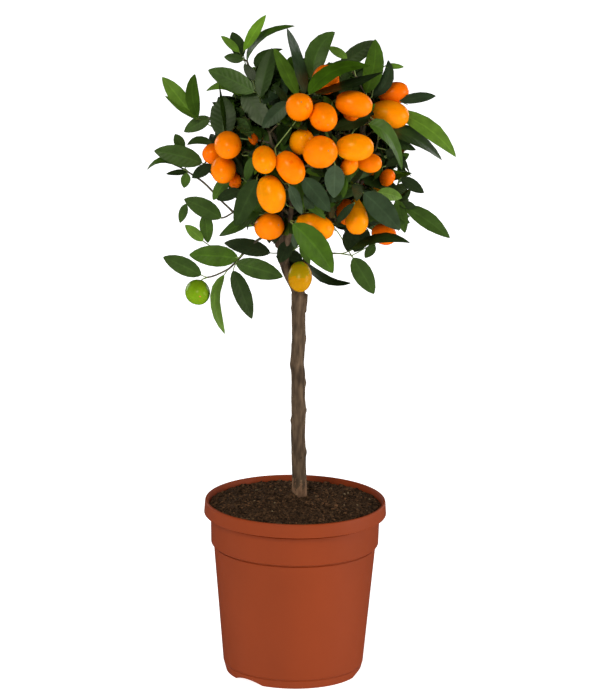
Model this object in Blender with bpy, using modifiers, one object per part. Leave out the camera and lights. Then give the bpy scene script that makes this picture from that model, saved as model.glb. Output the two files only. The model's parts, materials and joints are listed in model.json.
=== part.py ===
"""A kumquat tree in its pot: pot, soil, trunk, main boughs and masses of foliage as separate solids.

Metres, +Z up. The origin is the middle of the pot's underside, and -Y is the side that faces the viewer.
Run it with blender --background --python part.py, or from the text editor.
"""

import math
from collections import namedtuple

import bmesh
import bpy
from mathutils import Vector, noise

# Clearance between solids that lie against each other
GAP = 0.0003

# Pot: a turned shell with a broad rim, a band below it, a tapering body and a foot ring
POT_HEIGHT = 0.185
POT_STEPS = 40
POT_WALL = 0.0018
RIM_RADIUS = 0.0950
RIM_HEIGHT = 0.0155
RIM_WIDTH = 0.0035
RIM_EDGE = 0.0010
RIM_DRAFT = 0.0003
RIM_FOOT_SLOPE = 0.0020
BAND_TOP_RADIUS = 0.0880
BAND_FOOT_RADIUS = 0.0874
BAND_FOOT = 0.1390
BODY_TOP = 0.1365
BODY_TOP_RADIUS = 0.0846
BODY_FOOT = 0.0090
BODY_FOOT_RADIUS = 0.0732
FOOT_TOP_RADIUS = 0.0712
FOOT_RADIUS = 0.0700
FOOT_WIDTH = 0.0030
FLOOR_UNDERSIDE = 0.0035
FLOOR_TOP = 0.0055
FLOOR_CORNER = 0.0028
PAD_RADIUS = 0.0220
PAD_SLOPE = 0.0010
TURN_WELD = 0.00001

# Drain holes through the floor, and arches in the foot ring that let the water out
DRAIN_COUNT = 6
DRAIN_RING_RADIUS = 0.0460
DRAIN_RADIUS = 0.0050
DRAIN_SIDES = 10
DRAIN_DEPTH = 0.0300
ARCH_COUNT = 3
ARCH_WIDTH = 0.0380
ARCH_HEIGHT = 0.0045
ARCH_CUT_LENGTH = 0.0120
ARCH_SIDES = 64
FIRST_ARCH_ANGLE = math.radians(-132.0)

# Soil: it fills the pot to just below the rim and rises a little to the trunk
SOIL_STEPS = 32
SOIL_EDGE = 0.1795
SOIL_TOP = 0.1862
SOIL_FLAT_RADIUS = 0.0120
SOIL_DOME_POINTS = 4

# Trunk: height, sideways place and radius from the flat cut on the soil to the fork
TrunkPoint = namedtuple("TrunkPoint", "height x y radius")
TRUNK = (
    TrunkPoint(0.0000, 0.0043, 0.0095, 0.0087),
    TrunkPoint(0.0050, 0.0043, 0.0095, 0.0080),
    TrunkPoint(0.0220, 0.0038, 0.0093, 0.0078),
    TrunkPoint(0.0420, 0.0028, 0.0090, 0.0077),
    TrunkPoint(0.0700, 0.0017, 0.0087, 0.0077),
    TrunkPoint(0.0920, 0.0024, 0.0083, 0.0078),
    TrunkPoint(0.1110, 0.0011, 0.0080, 0.0076),
    TrunkPoint(0.1250, 0.0020, 0.0078, 0.0076),
    TrunkPoint(0.1440, -0.0003, 0.0075, 0.0074),
    TrunkPoint(0.1690, 0.0014, 0.0070, 0.0074),
    TrunkPoint(0.1950, 0.0006, 0.0066, 0.0074),
    TrunkPoint(0.2170, 0.0004, 0.0064, 0.0076),
    TrunkPoint(0.2235, 0.0004, 0.0064, 0.0074),
)
TRUNK_ROUNDNESS = 4
CAP_WELD = 0.000001

# Boughs: each leaves its parent at a point on the parent's line and ends at the mass that it carries, at the
# entry share of the way from the mass's middle to its face
Bough = namedtuple("Bough", "name parent along bend radius end_radius mass")
BOUGHS = (
    Bough("bough_left_leader", "trunk", 1.00,
          (-0.030, 0.000, -0.016), 0.0058, 0.0044, "foliage_heart"),
    Bough("bough_right", "trunk", 1.00,
          (-0.020, 0.002, 0.012), 0.0046, 0.0034, "foliage_right"),
    Bough("bough_front", "bough_left_leader", 0.32,
          (0.000, -0.005, -0.004), 0.0036, 0.0028, "foliage_front"),
    Bough("bough_left", "bough_left_leader", 0.52,
          (-0.004, 0.000, -0.004), 0.0034, 0.0026, "foliage_left"),
    Bough("bough_back", "bough_left_leader", 0.66,
          (0.000, 0.004, -0.004), 0.0034, 0.0026, "foliage_back_left"),
    Bough("bough_back_right", "bough_right", 0.35,
          (0.000, 0.004, -0.003), 0.0032, 0.0024, "foliage_back_right"),
    Bough("bough_front_right", "bough_right", 0.55,
          (0.000, -0.004, -0.003), 0.0030, 0.0024, "foliage_front_right"),
)
BOUGH_ENTRY = 0.86
BOUGH_POINTS = 6
BOUGH_ROUNDNESS = 2

# Foliage: the middle, half sizes and furthest tips of each mass
Mass = namedtuple("Mass", "name centre half tips")
MAIN_MASSES = (
    Mass("foliage_heart", (-0.008, 0.005, 0.550), (0.048, 0.048, 0.050), ()),
    Mass("foliage_front", (-0.004, -0.064, 0.556), (0.050, 0.042, 0.050), ()),
    Mass("foliage_front_left", (-0.052, -0.046, 0.566), (0.044, 0.044, 0.044), ()),
    Mass("foliage_front_right", (0.051, -0.046, 0.560), (0.044, 0.044, 0.048), ()),
    Mass("foliage_left", (-0.078, 0.004, 0.556), (0.040, 0.046, 0.042), ()),
    Mass("foliage_right", (0.080, 0.000, 0.556), (0.040, 0.048, 0.046), ()),
    Mass("foliage_top_left", (-0.041, -0.006, 0.610), (0.044, 0.048, 0.036), ((-0.085, -0.010, 0.627),)),
    Mass("foliage_top_right", (0.038, -0.006, 0.612), (0.046, 0.048, 0.036), ()),
    Mass("foliage_back_left", (-0.048, 0.054, 0.562), (0.044, 0.046, 0.046), ()),
    Mass("foliage_back_right", (0.046, 0.054, 0.556), (0.044, 0.046, 0.048), ()),
    Mass("foliage_top_back", (-0.001, 0.046, 0.612), (0.044, 0.044, 0.036), ()),
    Mass("foliage_low_front", (0.021, -0.040, 0.492), (0.040, 0.036, 0.036), ()),
    Mass("foliage_low_left", (-0.051, -0.004, 0.502), (0.040, 0.044, 0.038), ()),
    Mass("foliage_low_right", (0.063, 0.002, 0.492), (0.040, 0.044, 0.041), ()),
    Mass("foliage_low_back", (0.003, 0.054, 0.496), (0.042, 0.038, 0.036), ()),
)
SPRAYS = (
    Mass("spray_top_left", (-0.049, -0.014, 0.654), (0.030, 0.022, 0.030),
         ((-0.038, -0.015, 0.702), (-0.008, -0.014, 0.690), (-0.082, -0.014, 0.680),
          (-0.095, -0.018, 0.646))),
    Mass("spray_top_right", (0.053, -0.006, 0.648), (0.034, 0.026, 0.026),
         ((0.034, -0.008, 0.684), (0.075, -0.006, 0.677))),
    Mass("spray_right_high", (0.097, 0.002, 0.610), (0.026, 0.026, 0.024),
         ((0.138, 0.002, 0.616), (0.097, 0.002, 0.646))),
    Mass("spray_left_high", (-0.111, 0.000, 0.602), (0.024, 0.022, 0.026),
         ((-0.143, 0.000, 0.635), (-0.109, 0.000, 0.640), (-0.122, 0.000, 0.577))),
    Mass("spray_left", (-0.118, -0.004, 0.550), (0.026, 0.024, 0.018),
         ((-0.157, -0.005, 0.538), (-0.150, -0.005, 0.560), (-0.119, -0.005, 0.520))),
    Mass("spray_left_low", (-0.097, -0.002, 0.502), (0.023, 0.022, 0.020),
         ((-0.123, 0.000, 0.484), (-0.097, 0.000, 0.470))),
    Mass("spray_hanging_left", (-0.064, -0.012, 0.452), (0.036, 0.026, 0.022),
         ((-0.138, -0.015, 0.450), (-0.108, -0.015, 0.400), (-0.073, -0.015, 0.370),
          (-0.047, -0.015, 0.385), (-0.018, -0.015, 0.430), (-0.121, -0.012, 0.474))),
    Mass("spray_right", (0.118, 0.000, 0.570), (0.024, 0.024, 0.022),
         ((0.160, 0.000, 0.552), (0.144, 0.006, 0.546))),
    Mass("spray_right_low", (0.111, 0.000, 0.486), (0.024, 0.022, 0.020),
         ((0.154, 0.000, 0.468), (0.129, 0.004, 0.514), (0.105, 0.000, 0.460))),
    Mass("spray_hanging_right", (0.060, -0.008, 0.440), (0.022, 0.020, 0.024),
         ((0.078, -0.008, 0.407),)),
    Mass("spray_hanging_front", (0.014, -0.056, 0.454), (0.024, 0.020, 0.020),
         ((0.034, -0.062, 0.436), (0.002, -0.056, 0.424))),
    Mass("spray_front_left", (-0.050, -0.098, 0.574), (0.028, 0.024, 0.026),
         ((-0.064, -0.136, 0.584), (-0.076, -0.122, 0.556))),
    Mass("spray_front_right", (0.046, -0.096, 0.548), (0.028, 0.024, 0.026),
         ((0.058, -0.134, 0.534), (0.024, -0.130, 0.560))),
    Mass("spray_back_left", (-0.058, 0.106, 0.578), (0.028, 0.026, 0.028),
         ((-0.076, 0.144, 0.596), (-0.040, 0.148, 0.566))),
    Mass("spray_back_right", (0.056, 0.104, 0.560), (0.028, 0.026, 0.028),
         ((0.078, 0.140, 0.544), (0.042, 0.144, 0.584))),
    Mass("spray_back_high", (0.005, 0.066, 0.646), (0.030, 0.028, 0.020),
         ((-0.013, 0.092, 0.664), (0.039, 0.098, 0.656))),
    Mass("spray_back_low", (-0.011, 0.098, 0.486), (0.028, 0.024, 0.024),
         ((-0.023, 0.132, 0.456), (0.029, 0.128, 0.466))),
)
MAIN_MASS_DETAIL = 2
SPRAY_SEGMENTS = 12
SPRAY_RINGS = 9
UNEVENNESS = 0.30
UNEVEN_PITCH = 2.2
TIP_SPREAD = math.radians(22.0)
SEED_STEP = 7.3

# Finishes: red, green and blue of the base colour, and the roughness
Finish = namedtuple("Finish", "colour roughness")
TERRACOTTA = Finish((0.30, 0.060, 0.022), 0.50)
PEAT = Finish((0.034, 0.019, 0.010), 0.95)
BARK = Finish((0.105, 0.067, 0.043), 0.85)
LEAF_GREEN = Finish((0.040, 0.085, 0.018), 0.45)
YOUNG_GREEN = Finish((0.085, 0.155, 0.022), 0.45)


def clear_scene():
    for obj in list(bpy.data.objects):
        bpy.data.objects.remove(obj, do_unlink=True)


def new_collection(name):
    collection = bpy.data.collections.new(name)
    bpy.context.scene.collection.children.link(collection)
    return collection


def new_material(name, finish):
    material = bpy.data.materials.new(name)
    material.use_nodes = True
    shader = material.node_tree.nodes["Principled BSDF"]
    shader.inputs["Base Color"].default_value = (*finish.colour, 1.0)
    shader.inputs["Roughness"].default_value = finish.roughness
    shader.inputs["Metallic"].default_value = 0.0
    return material


def new_object(name, data, material, collection):
    obj = bpy.data.objects.new(name, data)
    obj.data.materials.append(material)
    collection.objects.link(obj)
    return obj


def object_from_bmesh(name, bm, material, collection):
    bmesh.ops.recalc_face_normals(bm, faces=bm.faces)
    mesh = bpy.data.meshes.new(name)
    bm.to_mesh(mesh)
    bm.free()
    mesh.shade_smooth()
    return new_object(name, mesh, material, collection)


def turned(name, profile, steps, material, collection):
    """A closed solid turned about Z from (radius, height) points that start and end on the axis."""
    mesh = bpy.data.meshes.new(name)
    edges = [(i, i + 1) for i in range(len(profile) - 1)]
    mesh.from_pydata([(radius, 0.0, height) for radius, height in profile], edges, [])
    obj = new_object(name, mesh, material, collection)
    screw = obj.modifiers.new("Turn", "SCREW")
    screw.steps = steps
    screw.render_steps = steps
    screw.use_merge_vertices = True
    screw.merge_threshold = TURN_WELD
    screw.use_smooth_shade = True
    return obj


def pot_inner_wall():
    """Points of the inside of the pot, from the floor's edge up to the shoulder under the rim."""
    return [
        (BODY_FOOT_RADIUS - POT_WALL - FLOOR_CORNER, FLOOR_TOP),
        (BODY_FOOT_RADIUS - POT_WALL, BODY_FOOT),
        (BODY_TOP_RADIUS - POT_WALL, BODY_TOP),
        (BAND_FOOT_RADIUS - POT_WALL, BAND_FOOT + POT_WALL),
        (BAND_TOP_RADIUS - POT_WALL, POT_HEIGHT - RIM_HEIGHT - POT_WALL),
        (RIM_RADIUS - RIM_WIDTH - POT_WALL, POT_HEIGHT - RIM_HEIGHT + POT_WALL),
    ]


def pot_profile():
    rim_foot = POT_HEIGHT - RIM_HEIGHT
    inside = [(0.0, FLOOR_TOP), *pot_inner_wall()]
    rim = [
        (RIM_RADIUS - RIM_WIDTH, POT_HEIGHT - RIM_EDGE),
        (RIM_RADIUS - RIM_WIDTH + RIM_EDGE, POT_HEIGHT),
        (RIM_RADIUS - RIM_EDGE, POT_HEIGHT),
        (RIM_RADIUS, POT_HEIGHT - RIM_EDGE),
        (RIM_RADIUS - RIM_DRAFT, rim_foot + RIM_FOOT_SLOPE),
        (RIM_RADIUS - RIM_FOOT_SLOPE, rim_foot),
    ]
    outside = [
        (BAND_TOP_RADIUS, rim_foot - RIM_FOOT_SLOPE),
        (BAND_FOOT_RADIUS, BAND_FOOT),
        (BODY_TOP_RADIUS, BODY_TOP),
        (BODY_FOOT_RADIUS, BODY_FOOT),
        (FOOT_TOP_RADIUS, BODY_FOOT - RIM_EDGE),
        (FOOT_RADIUS, 0.0),
    ]
    underside = [
        (FOOT_RADIUS - FOOT_WIDTH, 0.0),
        (FOOT_RADIUS - FOOT_WIDTH, FLOOR_UNDERSIDE),
        (PAD_RADIUS + PAD_SLOPE, FLOOR_UNDERSIDE),
        (PAD_RADIUS, 0.0),
        (0.0, 0.0),
    ]
    return inside + rim + outside + underside


def add_cutter(name, sides, radius, length, location, rotation, cutters):
    bm = bmesh.new()
    bmesh.ops.create_cone(
        bm, cap_ends=True, segments=sides, radius1=radius, radius2=radius, depth=length
    )
    mesh = bpy.data.meshes.new(name)
    bm.to_mesh(mesh)
    bm.free()
    cutter = bpy.data.objects.new(name, mesh)
    cutter.location = location
    cutter.rotation_euler = rotation
    cutter.hide_render = True
    cutter.display_type = "WIRE"
    cutters.objects.link(cutter)


def add_drain_cutters(cutters):
    for number in range(DRAIN_COUNT):
        angle = math.tau * number / DRAIN_COUNT
        place = (DRAIN_RING_RADIUS * math.cos(angle), DRAIN_RING_RADIUS * math.sin(angle), 0.0)
        name = f"drain_cutter_{number + 1}"
        add_cutter(name, DRAIN_SIDES, DRAIN_RADIUS, DRAIN_DEPTH, place, (0.0, 0.0, 0.0), cutters)


def add_arch_cutters(cutters):
    """Each arch is the top of a wide cylinder that lies radially through the foot ring."""
    radius = (0.25 * ARCH_WIDTH**2 + ARCH_HEIGHT**2) / (2.0 * ARCH_HEIGHT)
    for number in range(ARCH_COUNT):
        angle = FIRST_ARCH_ANGLE + math.tau * number / ARCH_COUNT
        place = (FOOT_RADIUS * math.cos(angle), FOOT_RADIUS * math.sin(angle), ARCH_HEIGHT - radius)
        turn = (0.0, math.radians(90.0), angle)
        name = f"arch_cutter_{number + 1}"
        add_cutter(name, ARCH_SIDES, radius, ARCH_CUT_LENGTH, place, turn, cutters)


def make_pot(plant, cutters):
    terracotta = new_material("terracotta_plastic", TERRACOTTA)
    pot = turned("pot", pot_profile(), POT_STEPS, terracotta, plant)
    add_drain_cutters(cutters)
    add_arch_cutters(cutters)
    cut = pot.modifiers.new("Drains and arches", "BOOLEAN")
    cut.operation = "DIFFERENCE"
    cut.operand_type = "COLLECTION"
    cut.collection = cutters
    cut.solver = "EXACT"


def make_soil(plant):
    side = [(radius - GAP, height) for radius, height in pot_inner_wall()]
    floor_radius, floor_height = side[0]
    side[0] = (floor_radius, floor_height + GAP)
    edge_radius = RIM_RADIUS - RIM_WIDTH - POT_WALL - GAP
    dome = []
    for step in range(SOIL_DOME_POINTS + 1):
        share = step / SOIL_DOME_POINTS
        radius = edge_radius + share * (SOIL_FLAT_RADIUS - edge_radius)
        dome.append((radius, SOIL_EDGE + (SOIL_TOP - SOIL_EDGE) * math.sin(0.5 * math.pi * share)))
    profile = [(0.0, FLOOR_TOP + GAP), *side, *dome, (0.0, SOIL_TOP)]
    turned("soil", profile[::-1], SOIL_STEPS, new_material("peat_soil", PEAT), plant)


def tube(name, points, radii, roundness, material, collection):
    """A limb as a curve with a round bevel, its radius given point by point."""
    curve = bpy.data.curves.new(name, "CURVE")
    curve.dimensions = "3D"
    curve.bevel_depth = 1.0
    curve.bevel_resolution = roundness
    curve.use_fill_caps = True
    spline = curve.splines.new("POLY")
    spline.points.add(len(points) - 1)
    for target, point, radius in zip(spline.points, points, radii):
        target.co = (*point, 1.0)
        target.radius = radius
    return new_object(name, curve, material, collection)


def cut_limb(limb, cuts):
    """The limb as a mesh, kept on the far side of each cutting plane, with the cut end closed flat."""
    graph = bpy.context.evaluated_depsgraph_get()
    mesh = bpy.data.meshes.new_from_object(limb.evaluated_get(graph))
    bm = bmesh.new()
    bm.from_mesh(mesh)
    bpy.data.meshes.remove(mesh)
    bmesh.ops.remove_doubles(bm, verts=bm.verts, dist=CAP_WELD)
    for place, normal in cuts:
        everything = bm.verts[:] + bm.edges[:] + bm.faces[:]
        bmesh.ops.bisect_plane(bm, geom=everything, plane_co=place, plane_no=normal, clear_inner=True)
        open_edges = [edge for edge in bm.edges if edge.is_boundary]
        bmesh.ops.holes_fill(bm, edges=open_edges, sides=0)
    name, material, collection = limb.name, limb.data.materials[0], limb.users_collection[0]
    bpy.data.objects.remove(limb, do_unlink=True)
    return object_from_bmesh(name, bm, material, collection)


def trunk_line():
    points = [Vector((p.x, p.y, SOIL_TOP + GAP + p.height)) for p in TRUNK]
    return points, [p.radius for p in TRUNK]


def ellipsoid_reach(direction, half):
    """How far an ellipsoid of these half sizes reaches from its middle in a direction."""
    return 1.0 / math.sqrt(sum((d / h) ** 2 for d, h in zip(direction, half)))


def point_along(points, share):
    """A place on a line of points, by its share of the number of steps, with the stretch that it lies on."""
    place = min(share * (len(points) - 1), len(points) - 1.001)
    step = int(place)
    return points[step].lerp(points[step + 1], place - step), step


def bough_line(bough, lines, masses):
    """The bent line of a bough from its parent's line to the face of the mass that it carries."""
    start, _ = point_along(lines[bough.parent][0], bough.along)
    mass = masses[bough.mass]
    middle = Vector(mass.centre)
    towards = (middle - start).normalized()
    end = middle - towards * (BOUGH_ENTRY * ellipsoid_reach(towards, mass.half))
    control = start.lerp(end, 0.5) + Vector(bough.bend)
    points = []
    radii = []
    for number in range(BOUGH_POINTS):
        share = number / (BOUGH_POINTS - 1)
        points.append(start.lerp(control, share).lerp(control.lerp(end, share), share))
        radii.append(bough.radius + share * (bough.end_radius - bough.radius))
    return points, radii


def all_limb_lines():
    masses = {mass.name: mass for mass in (*MAIN_MASSES, *SPRAYS)}
    lines = {"trunk": trunk_line()}
    for bough in BOUGHS:
        lines[bough.name] = bough_line(bough, lines, masses)
    return lines


def side_cut(bough, lines):
    """A plane along the parent's flank, where the foot of a side bough is cut flat."""
    parent_points, parent_radii = lines[bough.parent]
    start, step = point_along(parent_points, bough.along)
    axis = (parent_points[step + 1] - parent_points[step]).normalized()
    points, _ = lines[bough.name]
    leaving = points[1] - points[0]
    normal = (leaving - axis * leaving.dot(axis)).normalized()
    return start + normal * (parent_radii[step] + GAP), normal


def fork_cuts(bough, other, lines):
    """The planes at the fork: the trunk's flat top, and the plane midway to the other bough."""
    fork = lines["trunk"][0][-1]
    here = (lines[bough.name][0][1] - fork).normalized()
    there = (lines[other.name][0][1] - fork).normalized()
    between = (here - there).normalized()
    return [
        (fork + Vector((0.0, 0.0, GAP)), Vector((0.0, 0.0, 1.0))),
        (fork + between * (0.5 * GAP), between),
    ]


def make_limbs(lines, plant):
    bark = new_material("bark", BARK)
    tube("trunk", *lines["trunk"], TRUNK_ROUNDNESS, bark, plant)
    leaders = [bough for bough in BOUGHS if bough.parent == "trunk"]
    for bough in BOUGHS:
        limb = tube(bough.name, *lines[bough.name], BOUGH_ROUNDNESS, bark, plant)
        if bough in leaders:
            other = leaders[1] if bough is leaders[0] else leaders[0]
            cuts = fork_cuts(bough, other, lines)
        else:
            cuts = [side_cut(bough, lines)]
        cut_limb(limb, cuts)


def cuts_from_neighbours(mass, masses):
    """Planes, as normal and distance from the mass's middle, that part it from every other mass."""
    middle = Vector(mass.centre)
    planes = []
    for other in masses:
        if other is mass:
            continue
        across = Vector(other.centre) - middle
        normal = across.normalized()
        here = ellipsoid_reach(normal, mass.half)
        there = ellipsoid_reach(normal, other.half)
        planes.append((normal, across.length * here / (here + there) - 0.5 * GAP))
    return planes


def nearest_on_stretch(point, start, end):
    along = end - start
    share = (point - start).dot(along) / along.length_squared
    return start + along * max(0.0, min(1.0, share))


def cuts_from_limbs(mass, lines):
    """Planes that keep the mass off each stretch of each limb, with the limb's full radius beyond them."""
    middle = Vector(mass.centre)
    planes = []
    for points, radii in lines.values():
        for start, end, radius in zip(points, points[1:], radii):
            normal = (nearest_on_stretch(middle, start, end) - middle).normalized()
            slant = (end - start).normalized().dot(normal)
            nearest = min((start - middle).dot(normal), (end - middle).dot(normal))
            planes.append((normal, nearest - radius * math.sqrt(max(0.0, 1.0 - slant**2)) - GAP))
    return planes


def aim_at_tips(bm, tips):
    """Turns the nearest point of a unit ball to face each tip, so that the tip is reached exactly."""
    bm.verts.ensure_lookup_table()
    for tip in tips:
        towards = tip.normalized()
        nearest = max(bm.verts, key=lambda vert: vert.co.normalized().dot(towards))
        nearest.co = towards


def reach_of(direction, mass, tips, planes, seed):
    """How far the uneven surface of a mass lies from its middle in one direction."""
    reach = ellipsoid_reach(direction, mass.half)
    reach *= 1.0 + UNEVENNESS * noise.noise(UNEVEN_PITCH * direction + Vector((seed, 0.0, 0.0)))
    for tip in tips:
        turned_away = direction.angle(tip) / TIP_SPREAD
        reach = max(reach, tip.length * math.exp(-(turned_away**2)))
    for normal, distance in planes:
        facing = direction.dot(normal)
        if facing > 0.0:
            reach = min(reach, distance / facing)
    return reach


def make_mass(mass, bm, planes, seed, material, collection):
    middle = Vector(mass.centre)
    tips = [Vector(tip) - middle for tip in mass.tips]
    aim_at_tips(bm, tips)
    for vert in bm.verts:
        direction = vert.co.normalized()
        vert.co = middle + direction * reach_of(direction, mass, tips, planes, seed)
    object_from_bmesh(mass.name, bm, material, collection)


def make_foliage(lines, plant):
    masses = (*MAIN_MASSES, *SPRAYS)
    green = new_material("leaf_green", LEAF_GREEN)
    young = new_material("young_leaf_green", YOUNG_GREEN)
    for number, mass in enumerate(masses):
        bm = bmesh.new()
        if mass in MAIN_MASSES:
            bmesh.ops.create_icosphere(bm, subdivisions=MAIN_MASS_DETAIL, radius=1.0)
        else:
            bmesh.ops.create_uvsphere(bm, u_segments=SPRAY_SEGMENTS, v_segments=SPRAY_RINGS, radius=1.0)
        planes = cuts_from_neighbours(mass, masses) + cuts_from_limbs(mass, lines)
        material = green if mass in MAIN_MASSES else young
        make_mass(mass, bm, planes, SEED_STEP * number, material, plant)


def main():
    clear_scene()
    plant = new_collection("kumquat_tree")
    cutters = new_collection("cutters")
    make_pot(plant, cutters)
    make_soil(plant)
    lines = all_limb_lines()
    make_limbs(lines, plant)
    make_foliage(lines, plant)


main()
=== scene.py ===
"""The looks of a kumquat tree in its pot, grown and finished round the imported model.

Metres, +Z up, the viewer on the -Y side. Leaves, fruit and shoots that show in the photograph are placed
by the pixel where they show, in its 600 x 700 frame. Everything else grows on by a seeded rule.
"""

import json
import math
import random
from collections import namedtuple

import bmesh
import bpy
import numpy as np
from mathutils import Matrix, Vector, noise

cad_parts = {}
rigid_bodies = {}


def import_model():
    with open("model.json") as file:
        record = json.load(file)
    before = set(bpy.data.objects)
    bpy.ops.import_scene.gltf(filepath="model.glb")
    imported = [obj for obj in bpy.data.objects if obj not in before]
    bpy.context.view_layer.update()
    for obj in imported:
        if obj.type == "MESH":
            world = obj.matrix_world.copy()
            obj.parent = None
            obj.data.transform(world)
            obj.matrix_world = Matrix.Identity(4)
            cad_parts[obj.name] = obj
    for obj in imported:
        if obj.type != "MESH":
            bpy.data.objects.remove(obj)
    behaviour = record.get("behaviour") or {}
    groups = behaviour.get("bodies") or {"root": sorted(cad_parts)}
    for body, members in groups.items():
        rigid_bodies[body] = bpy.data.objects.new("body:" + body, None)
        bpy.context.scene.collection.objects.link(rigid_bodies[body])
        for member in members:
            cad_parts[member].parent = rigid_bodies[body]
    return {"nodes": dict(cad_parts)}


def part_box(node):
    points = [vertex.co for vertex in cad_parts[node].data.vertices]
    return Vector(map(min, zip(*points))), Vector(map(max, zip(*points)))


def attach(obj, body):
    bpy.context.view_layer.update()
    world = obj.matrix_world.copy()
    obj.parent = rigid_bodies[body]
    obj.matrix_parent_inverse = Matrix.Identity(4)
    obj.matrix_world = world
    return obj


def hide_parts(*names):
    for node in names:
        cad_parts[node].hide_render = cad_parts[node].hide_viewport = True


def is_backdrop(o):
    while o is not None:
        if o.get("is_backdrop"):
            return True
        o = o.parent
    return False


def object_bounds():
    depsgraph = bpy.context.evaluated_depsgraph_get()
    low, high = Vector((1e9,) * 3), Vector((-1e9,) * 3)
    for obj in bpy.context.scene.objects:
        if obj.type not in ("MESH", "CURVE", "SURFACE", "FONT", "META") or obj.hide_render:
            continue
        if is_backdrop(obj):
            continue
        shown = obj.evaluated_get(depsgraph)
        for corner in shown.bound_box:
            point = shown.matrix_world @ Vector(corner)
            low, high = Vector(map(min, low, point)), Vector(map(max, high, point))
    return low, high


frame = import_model()
cad_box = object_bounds()

MILLIMETRE = 0.001
UP = Vector((0.0, 0.0, 1.0))
WHITE = (1.0, 1.0, 1.0)

# Camera: the photograph's frame, viewing angle and lens, and the size of a pixel at the tree
PHOTO_WIDTH = 600.0
PHOTO_HEIGHT = 700.0
CAMERA_PLACE = Vector((0.0027, -5.0, 1.6460))
CAMERA_PITCH = math.radians(14.575)
CAMERA_ROLL = math.radians(0.81)
CAMERA_TILT = math.radians(90.0) - CAMERA_PITCH
CAMERA_TURN = Matrix.Rotation(CAMERA_TILT, 3, "X") @ Matrix.Rotation(CAMERA_ROLL, 3, "Z")
LENS = 256.6
SENSOR = 36.0
FOCAL_PIXELS = PHOTO_HEIGHT * LENS / SENSOR
PIXEL = 0.00103
FAR_CLIP = 100.0

# Crown: the ball on whose face lies what the photograph shows, and how steeply a leaf may follow it
CROWN_MIDDLE = Vector((0.000, 0.005, 0.552))
CROWN_BALL = 0.092
DEPTH_SLOPE = 0.45

# Leaves: closed blades in rows from base to tip, folded up from a midrib that stands out below
LEAF_ROWS = 10
LEAF_ACROSS = (-1.0, -0.55, -0.08, 0.08, 0.55, 1.0)
RIB_ACROSS = (0.08, -0.08)
LEAF_THICKNESS = 0.00022
RIB_DEPTH = 0.00050
LEAF_WIDTH_SHARE = 0.36
LARGEST_LEAF_WIDTH = 0.0270
PETIOLE_WIDTH = 0.0011
LEAST_HALF_WIDTH = 0.00008
LEAF_FOLD = 0.26
LEAF_CURL = 0.16
LEAF_WAVE = 0.05
WAVES_ALONG = 9.0
SIDE_VEINS = 9.0
VEIN_SLANT = 0.16
PETIOLE = 0.0055
PHYLLOTAXIS = math.radians(137.5)

# Shades of leaves: the sRGB colour of the blade
# The dark and deep shades are partly the leaves' own tone and partly painted shade, for leaves in the shade
# inside the crown; the bluish shade is a painted sky reflection and the grey shade a painted sheen.
LEAF_SHADES = {
    "young": (94, 132, 28),
    "light": (84, 116, 32),
    "vivid": (54, 84, 6),
    "green": (58, 86, 20),
    "mid": (50, 74, 22),
    "deep": (38, 56, 20),
    "dark": (28, 42, 16),
    "reflected_sky_blue": (40, 57, 34),
    "sheen_grey": (62, 80, 56),
}
SHADES = tuple(LEAF_SHADES)
RIB_LIFT = 1.25
UNDERSIDE_LIFT = 1.55
CROWN_PALETTE = (
    "mid", "deep", "mid", "dark", "reflected_sky_blue", "green", "deep", "vivid", "mid", "sheen_grey", "green", "deep",
)
SPRAY_PALETTE = ("green", "mid", "vivid", "light", "deep", "mid", "young", "green")
FILLING_PALETTES = (
    ("mid", "deep", "dark"),
    ("deep", "reflected_sky_blue", "sheen_grey", "mid"),
    ("green", "mid", "deep"),
    ("vivid", "green", "mid"),
    ("dark", "deep", "reflected_sky_blue"),
)
# Leaves grown by rule in front of the crown's middle lie in shade, so they take mostly darker shades from
# here: painted shade.
PAINTED_SHADE_PALETTE = ("deep", "dark", "mid", "reflected_sky_blue", "deep", "green")
LEAF_SHEEN = (0.92, 1.0, 0.72)

# Fruit: rings from the stalk to the blossom end, and the peel's colours from ripe to green
FRUIT_RINGS = 18
FRUIT_SIDES = 22
LONGEST_SHAPE = 1.35
STALK_DENT_FROM = -0.93
STALK_DENT = 0.9
NAVEL_FLAT_FROM = 0.97
NAVEL_FLAT = 0.8
CALYX_POINTS = 10
CALYX_REACHES = (0.0026, 0.0017)
CALYX_RISE = 0.0013
CALYX_THICKNESS = 0.0007
RIPENESS = (
    (238, 106, 0),
    (240, 122, 0),
    (238, 133, 0),
    (226, 135, 0),
    (208, 130, 2),
    (182, 128, 4),
    (156, 130, 8),
    (130, 138, 14),
    (108, 144, 18),
)
GREENEST = len(RIPENESS) - 1
PEEL_SHEEN = (1.0, 0.80, 0.42)

HeroLeaf = namedtuple("HeroLeaf", "base tip width shade ahead via over", defaults=(2.0, None, False))
HeroFruit = namedtuple("HeroFruit", "middle short long tilt ahead ripe stem_ripe neck", defaults=(0.0,))
HeroShoot = namedtuple("HeroShoot", "pixels ahead")

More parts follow.
